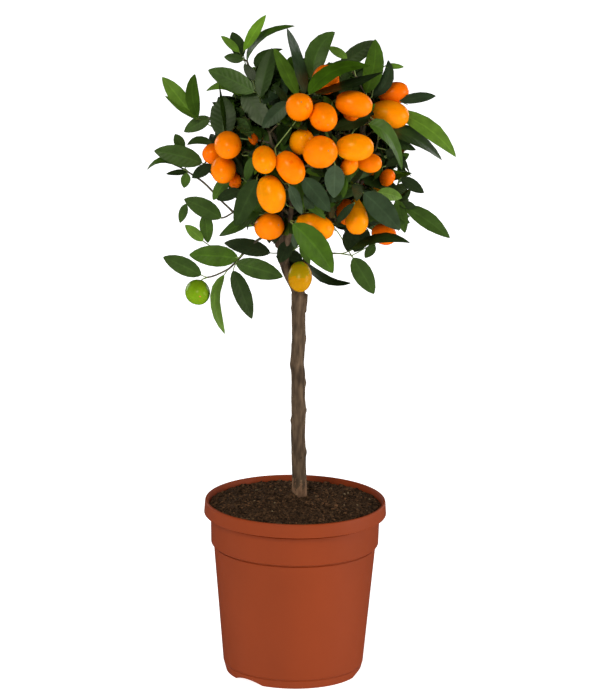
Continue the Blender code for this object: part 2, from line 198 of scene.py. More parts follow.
# Fruit that shows: the middle's pixel, its thickness and length in pixels, the tilt of its axis towards the
# blossom end in degrees, millimetres ahead of the crown's face, the ripeness of its body and stem end, and
# how much it narrows towards the stem
HERO_FRUIT = [HeroFruit(*row) for row in (
    ((299.4, 107.3), 27, 28, 70, 14, 1, 1),
    ((323.2, 116.7), 27, 30, -60, 10, 1, 1),
    ((325.4, 80.2), 27, 30, 80, 4, 0, 0),
    ((353.6, 104.1), 26, 38, -10, 12, 1, 1),
    ((393.3, 93.7), 22, 32, 20, -4, 0, 0),
    ((388.9, 114.3), 28, 41, -10, 10, 2, 3),
    ((227.8, 144.8), 27, 28, -80, 14, 1, 2),
    ((223.5, 169.1), 25, 28, -100, 6, 1, 1),
    ((214.0, 154.0), 21, 23, 170, -8, 0, 0),
    ((264.2, 159.4), 24, 28, -80, 12, 2, 2),
    ((290.0, 167.4), 26, 36, -55, 12, 1, 1),
    ((301.5, 142.0), 24, 26, 60, -6, 3, 4),
    ((320.0, 152.2), 32, 34, 10, 16, 1, 2),
    ((354.7, 147.4), 27, 38, 0, 14, 2, 4),
    ((271.2, 194.0), 28, 39, -75, 12, 2, 4),
    ((269.0, 226.6), 27, 30, 10, 10, 1, 2),
    ((314.5, 226.6), 26, 40, -15, 12, 2, 3),
    ((300.0, 276.5), 24, 31, -90, 15, 5, 7),
    ((197.5, 292.0), 25, 26, -60, 0, 8, 8),
    ((356.8, 216.2), 26, 37, -90, 12, 2, 5, 0.62),
    ((347.0, 212.0), 22, 28, -70, -4, 0, 1),
    ((383.9, 234.2), 21, 26, -20, 0, 0, 0),
    ((349.2, 165.9), 16, 20, 50, 0, 1, 1),
    ((368.8, 162.6), 20, 26, -10, 2, 1, 2),
    ((387.2, 177.8), 15, 18, 60, 0, 0, 0),
    ((234.0, 180.0), 14, 17, -60, -8, 0, 0),
    ((253.0, 138.5), 9, 13, -60, -24, 0, 0),
    ((351.0, 111.0), 18, 20, -60, -14, 0, 1),
)]

# Leaves that show: the pixels of base and tip, the width in pixels, the shade, millimetres ahead of the
# crown's face, a pixel that the middle passes through, and whether the leaf crosses in front of the fruit
HERO_LEAVES = [HeroLeaf(*row) for row in (
    # Top left
    ((244, 50), (266, 15), 11, "young", 5),
    ((247, 61), (295, 26), 8, "green", 0, (262, 37)),
    ((242, 57), (232, 32), 15, "deep", -5),
    ((239, 52), (221, 36), 8, "light", 6),
    ((243, 60), (224, 57), 10, "mid", 2),
    ((254, 92), (208, 70), 21, "mid", 8),
    ((255, 80), (244, 64), 10, "dark", 0),
    ((254, 78), (262, 64), 9, "deep", 0),
    ((256, 67), (283, 49), 9, "deep", 8, (262, 56)),
    ((260, 97), (272, 48), 17, "deep", 5),
    ((297, 96), (274, 48), 14, "light", -5),
    ((304, 94), (287, 28), 12, "reflected_sky_blue", 0, (298, 60)),
    # Shoot at the left
    ((192, 115), (162, 77), 17, "light", 5),
    ((197, 119), (165, 96), 8, "light", 8),
    ((198, 117), (195, 74), 14, "green", 4, (192, 94)),
    ((243, 96), (206, 91), 10, "light", 0, (226, 85)),
    ((222, 137), (224, 96), 26, "deep", 8),
    ((225, 134), (219, 84), 4, "green", 12),
    ((210, 118), (184, 132), 14, "mid", 2),
    ((243, 92), (269, 128), 22, "deep", 12),
    ((289, 102), (262, 128), 16, "reflected_sky_blue", 8),
    # Left
    ((202, 163), (154, 151), 21, "mid", 5),
    ((183, 150), (175, 134), 11, "mid", -5),
    ((212, 144), (187, 145), 8, "deep", 2, (198, 140)),
    ((183, 169), (147, 170), 6, "green", 2, (163, 160)),
    ((188, 172), (166, 174), 6, "dark", 2),
    ((187, 173), (184, 188), 10, "green", 4),
    ((212, 165), (192, 178), 12, "dark", 2),
    ((221, 218), (184, 199), 19, "mid", 4),
    ((186, 204), (180, 223), 9, "mid", 2),
    ((205, 214), (208, 243), 14, "green", -6),
    ((203, 241), (185, 225), 11, "light", 2),
    ((228, 178), (213, 200), 13, "green", 0),
    # Hanging at the left
    ((238, 258), (189, 255), 22, "vivid", 4),
    ((201, 275), (163, 257), 18, "mid", 2),
    ((224, 275), (225, 334), 11, "light", 2, (214, 299)),
    ((233, 271), (252, 319), 18, "deep", 4),
    ((236, 263), (283, 277), 20, "mid", 6),
    ((270, 253), (224, 243), 17, "dark", 2),
    ((259, 215), (219, 236), 13, "mid", 2),
    ((257, 180), (235, 226), 21, "deep", 6),
    ((240, 190), (217, 200), 12, "dark", 2),
    ((302, 266), (276, 256), 14, "dark", -10),
    ((252, 158), (246, 181), 10, "mid", 0),
    # Middle
    ((293, 224), (333, 273), 26, "vivid", 22, (315, 246), True),
    ((304, 261), (351, 283), 9, "dark", 2, (325, 280)),
    ((353, 258), (374, 294), 20, "mid", 2),
    ((303, 178), (330, 212), 19, "reflected_sky_blue", 8),
    ((335, 165), (334, 198), 20, "sheen_grey", 6),
    ((289, 186), (302, 214), 11, "sheen_grey", 6),
    ((354, 204), (334, 225), 8, "reflected_sky_blue", 16, None, True),
    ((290, 241), (279, 263), 15, "dark", 17),
    ((302, 262), (283, 249), 12, "dark", 4),
    ((296, 248), (291, 232), 6, "sheen_grey", 12),
    ((300, 246), (310, 264), 8, "green", 8),
    ((345, 176), (343, 198), 8, "green", 6),
    # Right
    ((364, 193), (400, 230), 24, "reflected_sky_blue", 10),
    ((378, 192), (402, 198), 13, "light", 14),
    ((401, 178), (424, 193), 12, "dark", 2),
    ((405, 207), (450, 238), 17, "mid", 2),
    ((399, 204), (416, 207), 9, "deep", 2),
    ((397, 200), (405, 233), 14, "green", 2),
    ((351, 250), (410, 243), 10, "deep", 14, (381, 238), True),
    ((375, 245), (365, 258), 10, "mid", 2),
    ((354, 228), (348, 252), 18, "dark", 0),
    ((368, 230), (354, 252), 16, "dark", 0),
    ((398, 188), (358, 180), 13, "deep", 4),
    ((383, 138), (416, 150), 11, "deep", -6),
    ((386, 166), (406, 157), 8, "dark", -2),
    ((386, 180), (412, 173), 7, "green", 2),
    ((386, 150), (408, 168), 12, "dark", -10),
    ((388, 196), (410, 184), 11, "deep", -8),
    # Top right
    ((314, 80), (335, 32), 22, "mid", -4, (317, 52)),
    ((347, 58), (328, 47), 9, "light", 0),
    ((340, 67), (377, 41), 17, "deep", 0),
    ((366, 93), (375, 39), 20, "vivid", 5, (374, 66)),
    ((309, 94), (370, 66), 15, "vivid", 18, (335, 70), True),
    # This dark leaf stands where the crown shows the shade under the leaf above it: a painted shadow.
    ((315, 94), (383, 72), 9, "dark", 16, (345, 86), True),
    ((372, 96), (388, 60), 13, "reflected_sky_blue", 2, (387, 80)),
    ((385, 66), (404, 67), 6, "light", 0),
    ((400, 101), (436, 96), 11, "reflected_sky_blue", 0),
    ((395, 112), (456, 157), 18, "light", 0, (430, 130)),
    ((384, 131), (442, 160), 15, "deep", 0, (414, 138)),
    ((369, 124), (402, 170), 14, "green", 3, (390, 138)),
    ((370, 117), (332, 130), 15, "deep", -4),
)]

# Shoots that show: pixels from the crown outwards, and millimetres ahead of the crown's face
HERO_SHOOTS = [HeroShoot(*row) for row in (
    (((262, 112), (255, 87), (246, 68), (242, 47)), -10.0),
    (((226, 136), (215, 128), (197, 119)), 0.0),
    (((272, 240), (258, 228), (225, 205), (204, 182), (188, 172), (181, 168)), -4.0),
    (((262, 236), (246, 250), (232, 267), (215, 276), (203, 279)), 0.0),
    (((330, 222), (340, 235), (352, 257)), 0.0),
    (((385, 190), (399, 204), (409, 212)), -2.0),
    (((368, 100), (369, 122)), -10.0),
    (((284, 170), (275, 148)), 2.0),
    (((275, 148), (283, 138), (291, 128), (296, 121)), 4.0),
)]

# Placing what shows: the share of a leaf's width that counts as covered, and the most steps of 1 mm by
# which a leaf or fruit moves out of the fruit's way
HERO_COVER = 0.36
HERO_MOVES = 45

# Gaps in which stalks show: the middle's pixel and the reach in pixels, kept free of what grows by rule
# down to so many millimetres behind the crown's face
HERO_GAPS = (((281.0, 138.0), 13.0), ((290.0, 212.0), 7.0))
GAP_DEPTH = 18.0

# The dense part of the crown in the photograph: what grows by rule stays inside it, seen from the front
DENSE_OUTLINE = (
    (232, 84), (250, 66), (268, 56), (284, 54), (300, 58), (314, 50), (332, 58), (350, 54), (374, 58),
    (388, 70), (390, 88), (408, 96), (412, 120), (412, 134), (414, 150), (410, 166), (418, 180),
    (416, 194), (415, 214), (409, 230), (394, 240), (374, 250), (350, 254), (343, 240), (334, 232),
    (322, 232), (306, 256), (292, 264), (276, 258), (266, 244), (246, 236), (234, 228), (238, 210),
    (232, 196), (222, 186), (206, 182), (196, 172), (200, 158), (203, 146), (205, 134), (200, 126),
    (208, 116), (206, 104), (214, 96),
)

# Shoots that grow by rule: to the outside of each mass, and evenly over the crown between them
GROWTH_SEED = 11
SHOOTS_PER_MASS = 10
SHOOTS_PER_SPRAY = 5
FACING_OUT = 0.25
FILLING_SHOOTS = 190
CROWN_HALF = Vector((0.116, 0.124, 0.104))
FILLING_REACHES = (0.86, 1.0)
LEAST_REACH = 0.5
REACH_STEP = 0.04
SHOOT_PULL_BACK = 0.022
SHOOT_STEP = 0.0075
BARE_SHARE = 0.25
BEHIND_FACE = 6.0

# Leaves that grow by rule. A pair is the range that each leaf's own value is drawn from. Towards the back,
# leaves keep a drawn number of pixels inside the outline, so that the edge isn't cut off sharply
LEAVES_AT_TIP = 3
LEAF_ATTEMPTS = 3
ATTEMPT_TURN = 1.9
LEAF_LENGTHS = (0.028, 0.053)
LEAF_WIDTHS = (0.32, 0.42)
LEAF_ANGLE = math.radians(52.0)
LEAF_ANGLE_SPREAD = (-0.35, 0.45)
PETIOLE_SPREAD = (0.7, 1.2)
LEAF_DROOPS = (0.05, 0.22)
FOLD_SPREAD = (0.5, 1.4)
WAVE_SPREAD = (0.5, 2.0)
FRONT_FROM = 0.02
RAGGED_FROM = 0.06
RAGGED_EDGE = 20.0
BOX_ROOM = 0.004

# Fruit that grows by rule, on the sides and the back
RULE_FRUIT = 34
RULE_FRUIT_TRIES = 6000
RULE_FRUIT_RADIUS = 0.0128
RULE_FRUIT_REACH = Vector((0.104, 0.112, 0.088))
RULE_FRUIT_TURNS = (math.radians(-40.0), math.radians(220.0))
RULE_FRUIT_HEIGHTS = (-0.72, 0.70)
RULE_FRUIT_DEPTHS = (0.84, 1.02)
RULE_FRUIT_SIZES = (0.86, 1.12)
RULE_FRUIT_SHAPES = (1.2, 1.4)
RULE_FRUIT_RIPENESS = (0, 0, 1, 1, 1, 2, 2, 3)
RULE_STEM_STEPS = (0, 0, 1, 2)
RULE_FRUIT_HIDDEN = 0.92
BEHIND_MIDDLE = 0.025
BEHIND_MARGIN = 12.0

# Twigs: their thickness and their brown follow from the number of leaves and fruit that they carry
TWIG_STEP = 0.006
TWIG_RADIUS = 0.00058
TWIG_POWER = 0.42
WOODY_FROM = 3
WOODY_SIDES = 8
GREEN_SIDES = 6
STALK_BEND = 0.010
SMOOTHING_ROUNDS = 3
TUCK = 0.002
SKELETON_ROOM = 60000

# Where a branch starts: what its way from the fork, a start further out and a barred place add to its cost
STRAIGHTNESS = 0.35
OUTSIDE_COST = 3.0
BARRED_COST = 10.0
NEAREST_START = 0.002

# Bark: limbs as tubes that run on past both ends and are joined by a remesh, and each knot's pixel, whether
# it is in front, and its rise and reach in millimetres
RunOn = namedtuple("RunOn", "before widening after narrowing")
TRUNK_RUN_ON = RunOn(0.012, 1.06, 0.004, 0.8)
BOUGH_RUN_ON = RunOn(0.006, 1.10, 0.012, 0.6)
LIMB_CUTS = 9
LIMB_SIDES = 24
BARK_VOXEL = 0.0007
BARK_ROUNDS = 3
KnotSpot = namedtuple("KnotSpot", "pixel in_front rise reach")
KNOTS = [KnotSpot(*row) for row in (
    ((290.3, 307.6), False, 1.5, 2.4),
    ((306.3, 383.0), False, 1.1, 3.4),
    ((306.6, 410.0), False, 0.9, 3.2),
    ((291.2, 420.0), False, 0.9, 3.2),
    ((306.6, 452.0), False, 1.2, 4.5),
    ((291.0, 365.0), False, 0.7, 4.0),
    ((306.5, 338.0), False, 0.7, 4.0),
    ((299.9, 332.7), True, 0.7, 2.6),
    ((298.7, 368.6), True, 0.6, 2.4),
    ((301.0, 458.0), True, 0.8, 3.4),
)]
KNOT_CUT = 4
KNOT_EDGE = 3.0
TRUNK_FRONT = 0.0075
SCAR_REACH = 0.0009
SCAR_DEPTH = 1.4
SCAR_SHARPNESS = 4.0
STUB_PIXELS = ((302.5, 312.0), (303.6, 294.0))
STUB_RADII = (0.00432, 0.0048)
STUB_SIDES = 20

# Pot: radius, height and rounding of its profile's corners, from the middle of the floor inside, up the
# wall, over the rim and down to the underside
PotCorner = namedtuple("PotCorner", "radius height round", defaults=(0.0003,))
POT_CORNERS = [PotCorner(*row) for row in (
    (0.0, 0.0055),
    (0.0660, 0.0055, 0.0040),
    (0.0704, 0.0105, 0.0020),
    (0.0828, 0.1365, 0.0015),
    (0.0856, 0.1408, 0.0015),
    (0.0859, 0.1700, 0.0015),
    (0.0897, 0.1738, 0.0015),
    (0.0915, 0.1850, 0.0010),
    (0.0941, 0.1850, 0.0022),
    (0.0951, 0.1706, 0.0010),
    (0.0873, 0.1700),
    (0.0871, 0.1684),
    (0.0881, 0.1678, 0.0004),
    (0.0874, 0.1390, 0.0010),
    (0.0848, 0.1380),
    (0.0836, 0.1376),
    (0.0835, 0.1364),
    (0.0845, 0.1360),
    (0.0733, 0.0108),
    (0.0719, 0.0103),
    (0.0719, 0.0091),
    (0.0726, 0.0086),
    (0.0702, 0.0, 0.0008),
    (0.0670, 0.0, 0.0006),
    (0.0672, 0.0035, 0.0006),
    (0.0230, 0.0035, 0.0006),
    (0.0220, 0.0, 0.0005),
    (0.0, 0.0),
)]
POT_SEGMENTS = 200
ROUNDING_STEPS = 5
DRAIN_COUNT = 6
DRAIN_RING = 0.046
DRAIN_RADIUS = 0.005
DRAIN_CUT = 0.03
DRAIN_SIDES = 32
ARCH_COUNT = 3
ARCH_RING = 0.070
ARCH_WIDTH = 0.038
ARCH_HEIGHT = 0.0045
ARCH_CUT = 0.012
ARCH_SIDES = 256
FIRST_ARCH = math.radians(-132.0)

# Soil: its wall inside the pot as radius and height, its domed surface, and the heap at the foot's left
SOIL_WALL = (
    (0.0657, 0.0058),
    (0.0700, 0.0110),
    (0.0824, 0.1362),
    (0.0852, 0.1405),
    (0.0855, 0.1697),
    (0.0892, 0.1737),
)
SOIL_RADIUS = 0.0894
SOIL_EDGE = 0.1790
SOIL_TOP = 0.1862
SOIL_SEGMENTS = 180
SOIL_RINGS = 70
FOOT = (0.0043, 0.0095)
FOOT_REACH = 0.020
HEAP = (-0.0052, 0.0030)
HEAP_REACH = 0.0052
HEAP_RISE = 0.0062
CRUMBS = 2200
CRUMB_RADIUS = 0.0868
CRUMB_SIZES = (0.0005, 0.0015)
CRUMB_WEIGHTS = (12, 7, 2, 0.35)

# Stage: a white floor that curves up into a wall, and round lamps aimed at the tree
FLOOR_RADIUS = 9.0
WALL_HEIGHT = 3.6
WALL_STEPS = 8
FLOOR_SEGMENTS = 96
FLOOR_GLOW = 0.90
WORLD_LIGHT = 0.24
Lamp = namedtuple("Lamp", "name place size power colour")
LAMP_AIM = Vector((0.0, 0.0, 0.45))
LAMPS = (
    Lamp("key", (-0.9, -2.5, 2.3), 1.1, 44.5, (1.0, 0.98, 0.95)),
    Lamp("fill", (2.4, -0.6, 0.7), 1.4, 27.0, (1.0, 0.95, 0.93)),
    Lamp("edge_left", (-1.9, 2.3, 0.9), 1.4, 11.0, WHITE),
    Lamp("edge_right", (1.9, 2.3, 0.9), 1.4, 11.0, WHITE),
)

MAIN_MASSES = sorted(name for name in frame["nodes"] if name.startswith("foliage_"))
SPRAYS = sorted(name for name in frame["nodes"] if name.startswith("spray_"))
BOUGHS = sorted(name for name in frame["nodes"] if name.startswith("bough_"))


def srgb(red, green, blue):
    """The linear colour of an sRGB colour given as 0 to 255."""
    shares = (red / 255.0, green / 255.0, blue / 255.0)
    return tuple(s / 12.92 if s <= 0.04045 else ((s + 0.055) / 1.055) ** 2.4 for s in shares)


def scaled(colour, factor):
    return tuple(min(1.0, channel * factor) for channel in colour)


# Where things show in the photograph


def to_photo(point):
    """The pixel at which a point shows."""
    seen = CAMERA_TURN.transposed() @ (Vector(point) - CAMERA_PLACE)
    across = PHOTO_WIDTH / 2.0 - FOCAL_PIXELS * seen.x / seen.z
    down = PHOTO_HEIGHT / 2.0 + FOCAL_PIXELS * seen.y / seen.z
    return Vector((across, down))


def from_photo(pixel, depth):
    """The point on the upright plane at y = depth that shows at a pixel."""
    across = (pixel[0] - PHOTO_WIDTH / 2.0) / FOCAL_PIXELS
    down = (pixel[1] - PHOTO_HEIGHT / 2.0) / FOCAL_PIXELS
    ray = CAMERA_TURN @ Vector((across, -down, -1.0))
    return CAMERA_PLACE + ray * ((depth - CAMERA_PLACE.y) / ray.y)


def face_depth(pixel, ahead):
    """The y of the crown's face at a pixel, less the millimetres that a thing lies ahead of it."""
    middle = from_photo(pixel, CROWN_MIDDLE.y) - CROWN_MIDDLE
    inside = CROWN_BALL**2 - middle.x**2 - middle.z**2
    return CROWN_MIDDLE.y - math.sqrt(max(0.0, inside)) - ahead * MILLIMETRE


CROWN_PIXEL = to_photo(CROWN_MIDDLE)


def inside_outline(pixel, margin=0.0):
    """Whether a pixel, moved away from the crown's middle by a margin, is inside the dense outline."""
    inside = False
    if margin:
        pixel = pixel + (pixel - CROWN_PIXEL).normalized() * margin
    corners = zip(DENSE_OUTLINE, DENSE_OUTLINE[1:] + DENSE_OUTLINE[:1])
    for (x1, y1), (x2, y2) in corners:
        if (y1 > pixel.y) != (y2 > pixel.y):
            if pixel.x < x1 + (pixel.y - y1) * (x2 - x1) / (y2 - y1):
                inside = not inside
    return inside


def in_cad_box(point):
    low, high = cad_box
    return all(a - BOX_ROOM < value < b + BOX_ROOM for a, value, b in zip(low, point, high))


# Curves and meshes


def average(points):
    return sum(points, Vector()) / len(points)


def stretched(vector, factors):
    return Vector(a * b for a, b in zip(vector, factors))


def on_ball(turn, height):
    """The direction to the point at a turn and a height on a ball of radius 1."""
    flat = math.sqrt(1.0 - height * height)
    return Vector((math.cos(turn) * flat, math.sin(turn) * flat, height))


def round_axis(side, other, turn):
    """The direction at a turn round an axis, from two directions across it."""
    return side * math.cos(turn) + other * math.sin(turn)


def across_to(vector, axis):
    """The part of a vector at right angles to an axis, at length 1."""
    part = vector - axis * vector.dot(axis)
    if part.length < 1e-6:
        part = axis.orthogonal()
    return part.normalized()


def curve_point(start, bend, end, share):
    return start.lerp(bend, share).lerp(bend.lerp(end, share), share)


def curve_points(start, bend, end, step):
    count = max(2, math.ceil(((bend - start).length + (end - bend).length) / step))
    return [curve_point(start, bend, end, number / count) for number in range(1, count + 1)]


class Shapes:
    """Many shapes gathered into one mesh, each face with its material's number."""

    def __init__(self):
        self.points = []
        self.faces = []
        self.slots = []
        self.across = []

    def add(self, points, faces, slots=None, across=None):
        first = len(self.points)
        self.points.extend(points)
        self.faces.extend(tuple(first + corner for corner in face) for face in faces)
        self.slots.extend(slots or [0] * len(faces))
        self.across.extend(across or [(0.0, 0.0)] * len(points))

    def make(self, name, materials):
        mesh = bpy.data.meshes.new(name)
        mesh.from_pydata(self.points, [], self.faces)
        mesh.polygons.foreach_set("material_index", self.slots)
        layer = mesh.uv_layers.new(name="Blade")
        corners = np.empty(len(mesh.loops), np.int32)
        mesh.loops.foreach_get("vertex_index", corners)
        layer.uv.foreach_set("vector", np.array(self.across, np.float32)[corners].ravel())
        for material in materials:
            mesh.materials.append(material)
        mesh.shade_smooth()
        mesh.set_sharp_from_angle(angle=math.radians(60.0))
        obj = bpy.data.objects.new(name, mesh)
        bpy.context.scene.collection.objects.link(obj)
        return obj


def ring_faces(rings, sides):
    """The faces between rings of points, each ring after the one before it."""
    faces = []
    for ring in range(rings - 1):
        low = ring * sides
        for side in range(sides):
            after = (side + 1) % sides
            faces.append((low + side, low + after, low + sides + after, low + sides + side))
    return faces


def tube_faces(rings, sides):
    """The faces of a tube of rings, with a face across each end."""
    last = (rings - 1) * sides
    return [*ring_faces(rings, sides), tuple(range(sides))[::-1], tuple(range(last, last + sides))]


def pointed_faces(rings, sides):
    """The faces of a closed solid that runs from one point through rings to another point."""
    faces = [tuple(1 + corner for corner in face) for face in ring_faces(rings, sides)]
    last_ring = 1 + (rings - 1) * sides
    last_point = 1 + rings * sides
    for side in range(sides):
        after = (side + 1) % sides
        faces.append((0, 1 + after, 1 + side))
        faces.append((last_point, last_ring + side, last_ring + after))
    return faces


def ring_points(radius, height, sides, shift=0.0):
    """Points round the upright axis at one height, turned on by a share of a side."""
    points = []
    for side in range(sides):
        turn = math.tau * (side + shift) / sides
        points.append(Vector((radius * math.cos(turn), radius * math.sin(turn), height)))
    return points


def lathe(profile, sides):
    """A closed turned solid, from a profile of (radius, height) that starts and ends on the axis."""
    points = [Vector((0.0, 0.0, profile[0].y))]
    for spot in profile[1:-1]:
        points += ring_points(spot.x, spot.y, sides)
    points.append(Vector((0.0, 0.0, profile[-1].y)))
    return points, pointed_faces(len(profile) - 2, sides)


def tube_shape(line, radii, sides):
    """A tube along a line of points, closed at both ends: its points and faces."""
    points = []
    across = None
    for number, place in enumerate(line):
        before = line[max(0, number - 1)]
        after = line[min(len(line) - 1, number + 1)]
        axis = (after - before).normalized()
        across = across_to(across or axis.orthogonal(), axis)
        other = axis.cross(across)
        for side in range(sides):
            points.append(place + round_axis(across, other, math.tau * side / sides) * radii[number])
    return points, tube_faces(len(line), sides)


# Leaves


Blade = namedtuple("Blade", "base bend tip width up fold wave shade")


def blade_outline(share):
    """The share of its full width that a blade has at a share of its length, widest below the middle."""
    return 2.615 * share**0.62 * (1.0 - share) ** 0.78


def blade_row(blade, share, phase):
    """The points across a blade at a share of its length, and the two of its midrib below."""
    place = curve_point(blade.base, blade.bend, blade.tip, share)
    along = blade.bend.lerp(blade.tip, share) - blade.base.lerp(blade.bend, share)
    along.normalize()
    top = across_to(blade.up, along)
    side = along.cross(top)
    stalk = 0.5 * PETIOLE_WIDTH * (1.0 - share) + LEAST_HALF_WIDTH
    reach = max(0.5 * blade.width * blade_outline(share), stalk)
    ripple = blade.wave * math.sin(phase + WAVES_ALONG * share)
    points = []
    for offset in LEAF_ACROSS:
        rise = blade.fold * abs(offset) - LEAF_CURL * offset * offset
        rise += ripple * offset * abs(offset)
        points.append(place + side * (offset * reach) + top * (rise * reach))
    rib = min(1.0, 0.25 + 1.2 * (1.0 - share)) * RIB_DEPTH
    for offset in RIB_ACROSS:
        points.append(place + side * (offset * reach * 0.8) - top * (LEAF_THICKNESS + rib))
    return points


def add_blade(shapes, blade, phase):
    """A closed blade, whose faces are blade above, midrib, and underside in its own shade."""
    points = []
    across = []
    for row in range(LEAF_ROWS):
        share = 0.5 - 0.5 * math.cos(math.pi * row / (LEAF_ROWS - 1))
        points += blade_row(blade, share, phase)
        across += [(offset, share) for offset in (*LEAF_ACROSS, *RIB_ACROSS)]
    top, rib, under = (SHADES.index(blade.shade) + part * len(SHADES) for part in range(3))
    row_slots = [top, top, rib, top, top, under, under, under]
    slots = row_slots * (LEAF_ROWS - 1) + [rib, rib]
    shapes.add(points, tube_faces(LEAF_ROWS, len(row_slots)), slots, across)


def blade_samples(blade):
    """Points on a blade that stand for it in tests of what it covers or runs into."""
    samples = []
    for share in (0.12, 0.3, 0.5, 0.7, 0.88, 1.0):
        samples.append(curve_point(blade.base, blade.bend, blade.tip, share))
    along = (blade.tip - blade.base).normalized()
    side = along.cross(across_to(blade.up, along))
    for share in (0.35, 0.6):
        middle = curve_point(blade.base, blade.bend, blade.tip, share)
        samples.append(middle + side * (0.45 * blade.width))
        samples.append(middle - side * (0.45 * blade.width))
    return samples


def hero_blade(leaf, rng):
    """The blade that shows between the leaf's two pixels, turned until it shows its width in pixels."""
    base_depth = face_depth(leaf.base, leaf.ahead)
    tip_depth = face_depth(leaf.tip, leaf.ahead)
    flat = from_photo(leaf.tip, base_depth) - from_photo(leaf.base, base_depth)
    most = DEPTH_SLOPE * flat.length
    tip_depth = base_depth + max(-most, min(most, tip_depth - base_depth))
    base = from_photo(leaf.base, base_depth)
    tip = from_photo(leaf.tip, tip_depth)
    along = tip - base
    if leaf.via:
        middle = from_photo(leaf.via, 0.5 * (base_depth + tip_depth))
        bend = middle * 2.0 - (base + tip) * 0.5
    else:
        bend = base.lerp(tip, 0.5) + UP * (rng.uniform(0.02, 0.07) * along.length)
    shown = leaf.width * PIXEL
    width = min(LARGEST_LEAF_WIDTH, max(shown, LEAF_WIDTH_SHARE * along.length))
    roll = math.acos(min(1.0, shown / width))
    view = across_to(CAMERA_PLACE - base, along.normalized())
    side = along.cross(view).normalized()
    if side.z < 0.0:
        side = -side
    up = view * math.cos(roll) + side * math.sin(roll)
    fold = LEAF_FOLD * rng.uniform(0.6, 1.2)
    return Blade(base, bend, tip, width, up, fold, LEAF_WAVE, leaf.shade)


# Fruit


Fruit = namedtuple("Fruit", "middle axis radius half_length ripe stem_ripe neck")


def hero_fruit(spot):
    """The fruit that shows at a pixel. Where it looks shorter than its kind, it points to the viewer."""
    radius = 0.5 * spot.short * PIXEL
    half_length = 0.5 * PIXEL * max(spot.long, LONGEST_SHAPE * spot.short)
    seen = 0.5 * PIXEL * spot.long
    flat = math.sqrt(max(0.0, seen**2 - radius**2) / max(1e-9, half_length**2 - radius**2))
    flat = min(1.0, flat)
    middle = from_photo(spot.middle, face_depth(spot.middle, spot.ahead))
    view = (CAMERA_PLACE - middle).normalized()
    tilt = math.radians(spot.tilt)
    in_picture = CAMERA_TURN @ Vector((math.cos(tilt), math.sin(tilt), 0.0))
    axis = (in_picture * flat + view * math.sqrt(1.0 - flat**2)).normalized()
    return Fruit(middle, axis, radius, half_length, spot.ripe, spot.stem_ripe, spot.neck)


def in_fruit(point, fruit, room):
    """Whether a point lies in a fruit made larger all round by some room."""
    off = point - fruit.middle
    along = off.dot(fruit.axis)
    out = (off - fruit.axis * along).length
    return (along / (fruit.half_length + room)) ** 2 + (out / (fruit.radius + room)) ** 2 < 1.0


def fruit_samples(fruit):
    """Points on a fruit, just under its peel, that stand for it in tests of what it runs into."""
    samples = []
    for share in (-0.75, -0.4, 0.0, 0.4, 0.75):
        reach = fruit.radius * math.sqrt(1.0 - share * share) * 0.94
        centre = fruit.middle + fruit.axis * (share * fruit.half_length)
        side = fruit.axis.orthogonal().normalized()
        for number in range(8):
            turn = Matrix.Rotation(math.tau * number / 8, 3, fruit.axis)
            samples.append(centre + (turn @ side) * reach)
    return samples


def fruits_meet(one, other):
    if (one.middle - other.middle).length > one.half_length + other.half_length:
        return False
    return any(in_fruit(point, other, 0.0) for point in fruit_samples(one)) or any(
        in_fruit(point, one, 0.0) for point in fruit_samples(other)
    )


def placed_hero_fruit():
    """The fruit that shows, each moved away from the viewer until it is clear of those ahead of it."""
    placed = []
    for spot in sorted(HERO_FRUIT, key=lambda spot: -spot.ahead):
        fruit = hero_fruit(spot)
        away = (fruit.middle - CAMERA_PLACE).normalized() * MILLIMETRE
        for _ in range(HERO_MOVES):
            if not any(fruits_meet(fruit, other) for other in placed):
                break
            fruit = fruit._replace(middle=fruit.middle + away)
        placed.append(fruit)
    return placed


def fruit_points(fruit, seed):
    """The rings of a fruit, dented round its stalk, flatter at the blossom end, and slightly uneven."""
    points = []
    side = fruit.axis.orthogonal().normalized()
    other = fruit.axis.cross(side)
    for ring in range(FRUIT_RINGS):
        angle = math.pi * (ring + 0.35) / (FRUIT_RINGS - 0.3)
        height = -math.cos(angle)
        reach = math.sin(angle) * (1.0 + 0.05 * height)
        reach *= 1.0 - fruit.neck * (0.5 - 0.5 * height) ** 2
        if height < STALK_DENT_FROM:
            height += STALK_DENT * (STALK_DENT_FROM - height)
        if height > NAVEL_FLAT_FROM:
            height -= NAVEL_FLAT * (height - NAVEL_FLAT_FROM)
        centre = fruit.middle + fruit.axis * (height * fruit.half_length)
        for number in range(FRUIT_SIDES):
            out = round_axis(side, other, math.tau * number / FRUIT_SIDES)
            uneven = 1.0 + 0.035 * noise.noise(out * 1.3 + Vector((seed, height * 1.2, 0.0)))
            points.append(centre + out * (fruit.radius * reach * uneven))
    return points


def peel_steps(fruit, seed, rng):
    """The step of ripeness of each face, from the stem end's to the body's, in soft patches."""
    steps = []
    for ring in range(FRUIT_RINGS - 1):
        share = (ring + 0.5) / (FRUIT_RINGS - 1)
        green = max(0.0, 1.0 - share / 0.72)
        for number in range(FRUIT_SIDES):
            turn = math.tau * number / FRUIT_SIDES
            patch = noise.noise(Vector((math.cos(turn) + seed, math.sin(turn), 2.2 * share)))
            shade = fruit.ripe + (fruit.stem_ripe - fruit.ripe) * green + 0.6 * patch
            shade += rng.uniform(-0.2, 0.2)
            steps.append(max(0, min(GREENEST, round(shade))))
    return steps


def add_fruit(shapes, fruit, rng):
    seed = rng.uniform(0.0, 50.0)
    slots = [*peel_steps(fruit, seed, rng), GREENEST, GREENEST + 1]
    shapes.add(fruit_points(fruit, seed), tube_faces(FRUIT_RINGS, FRUIT_SIDES), slots)


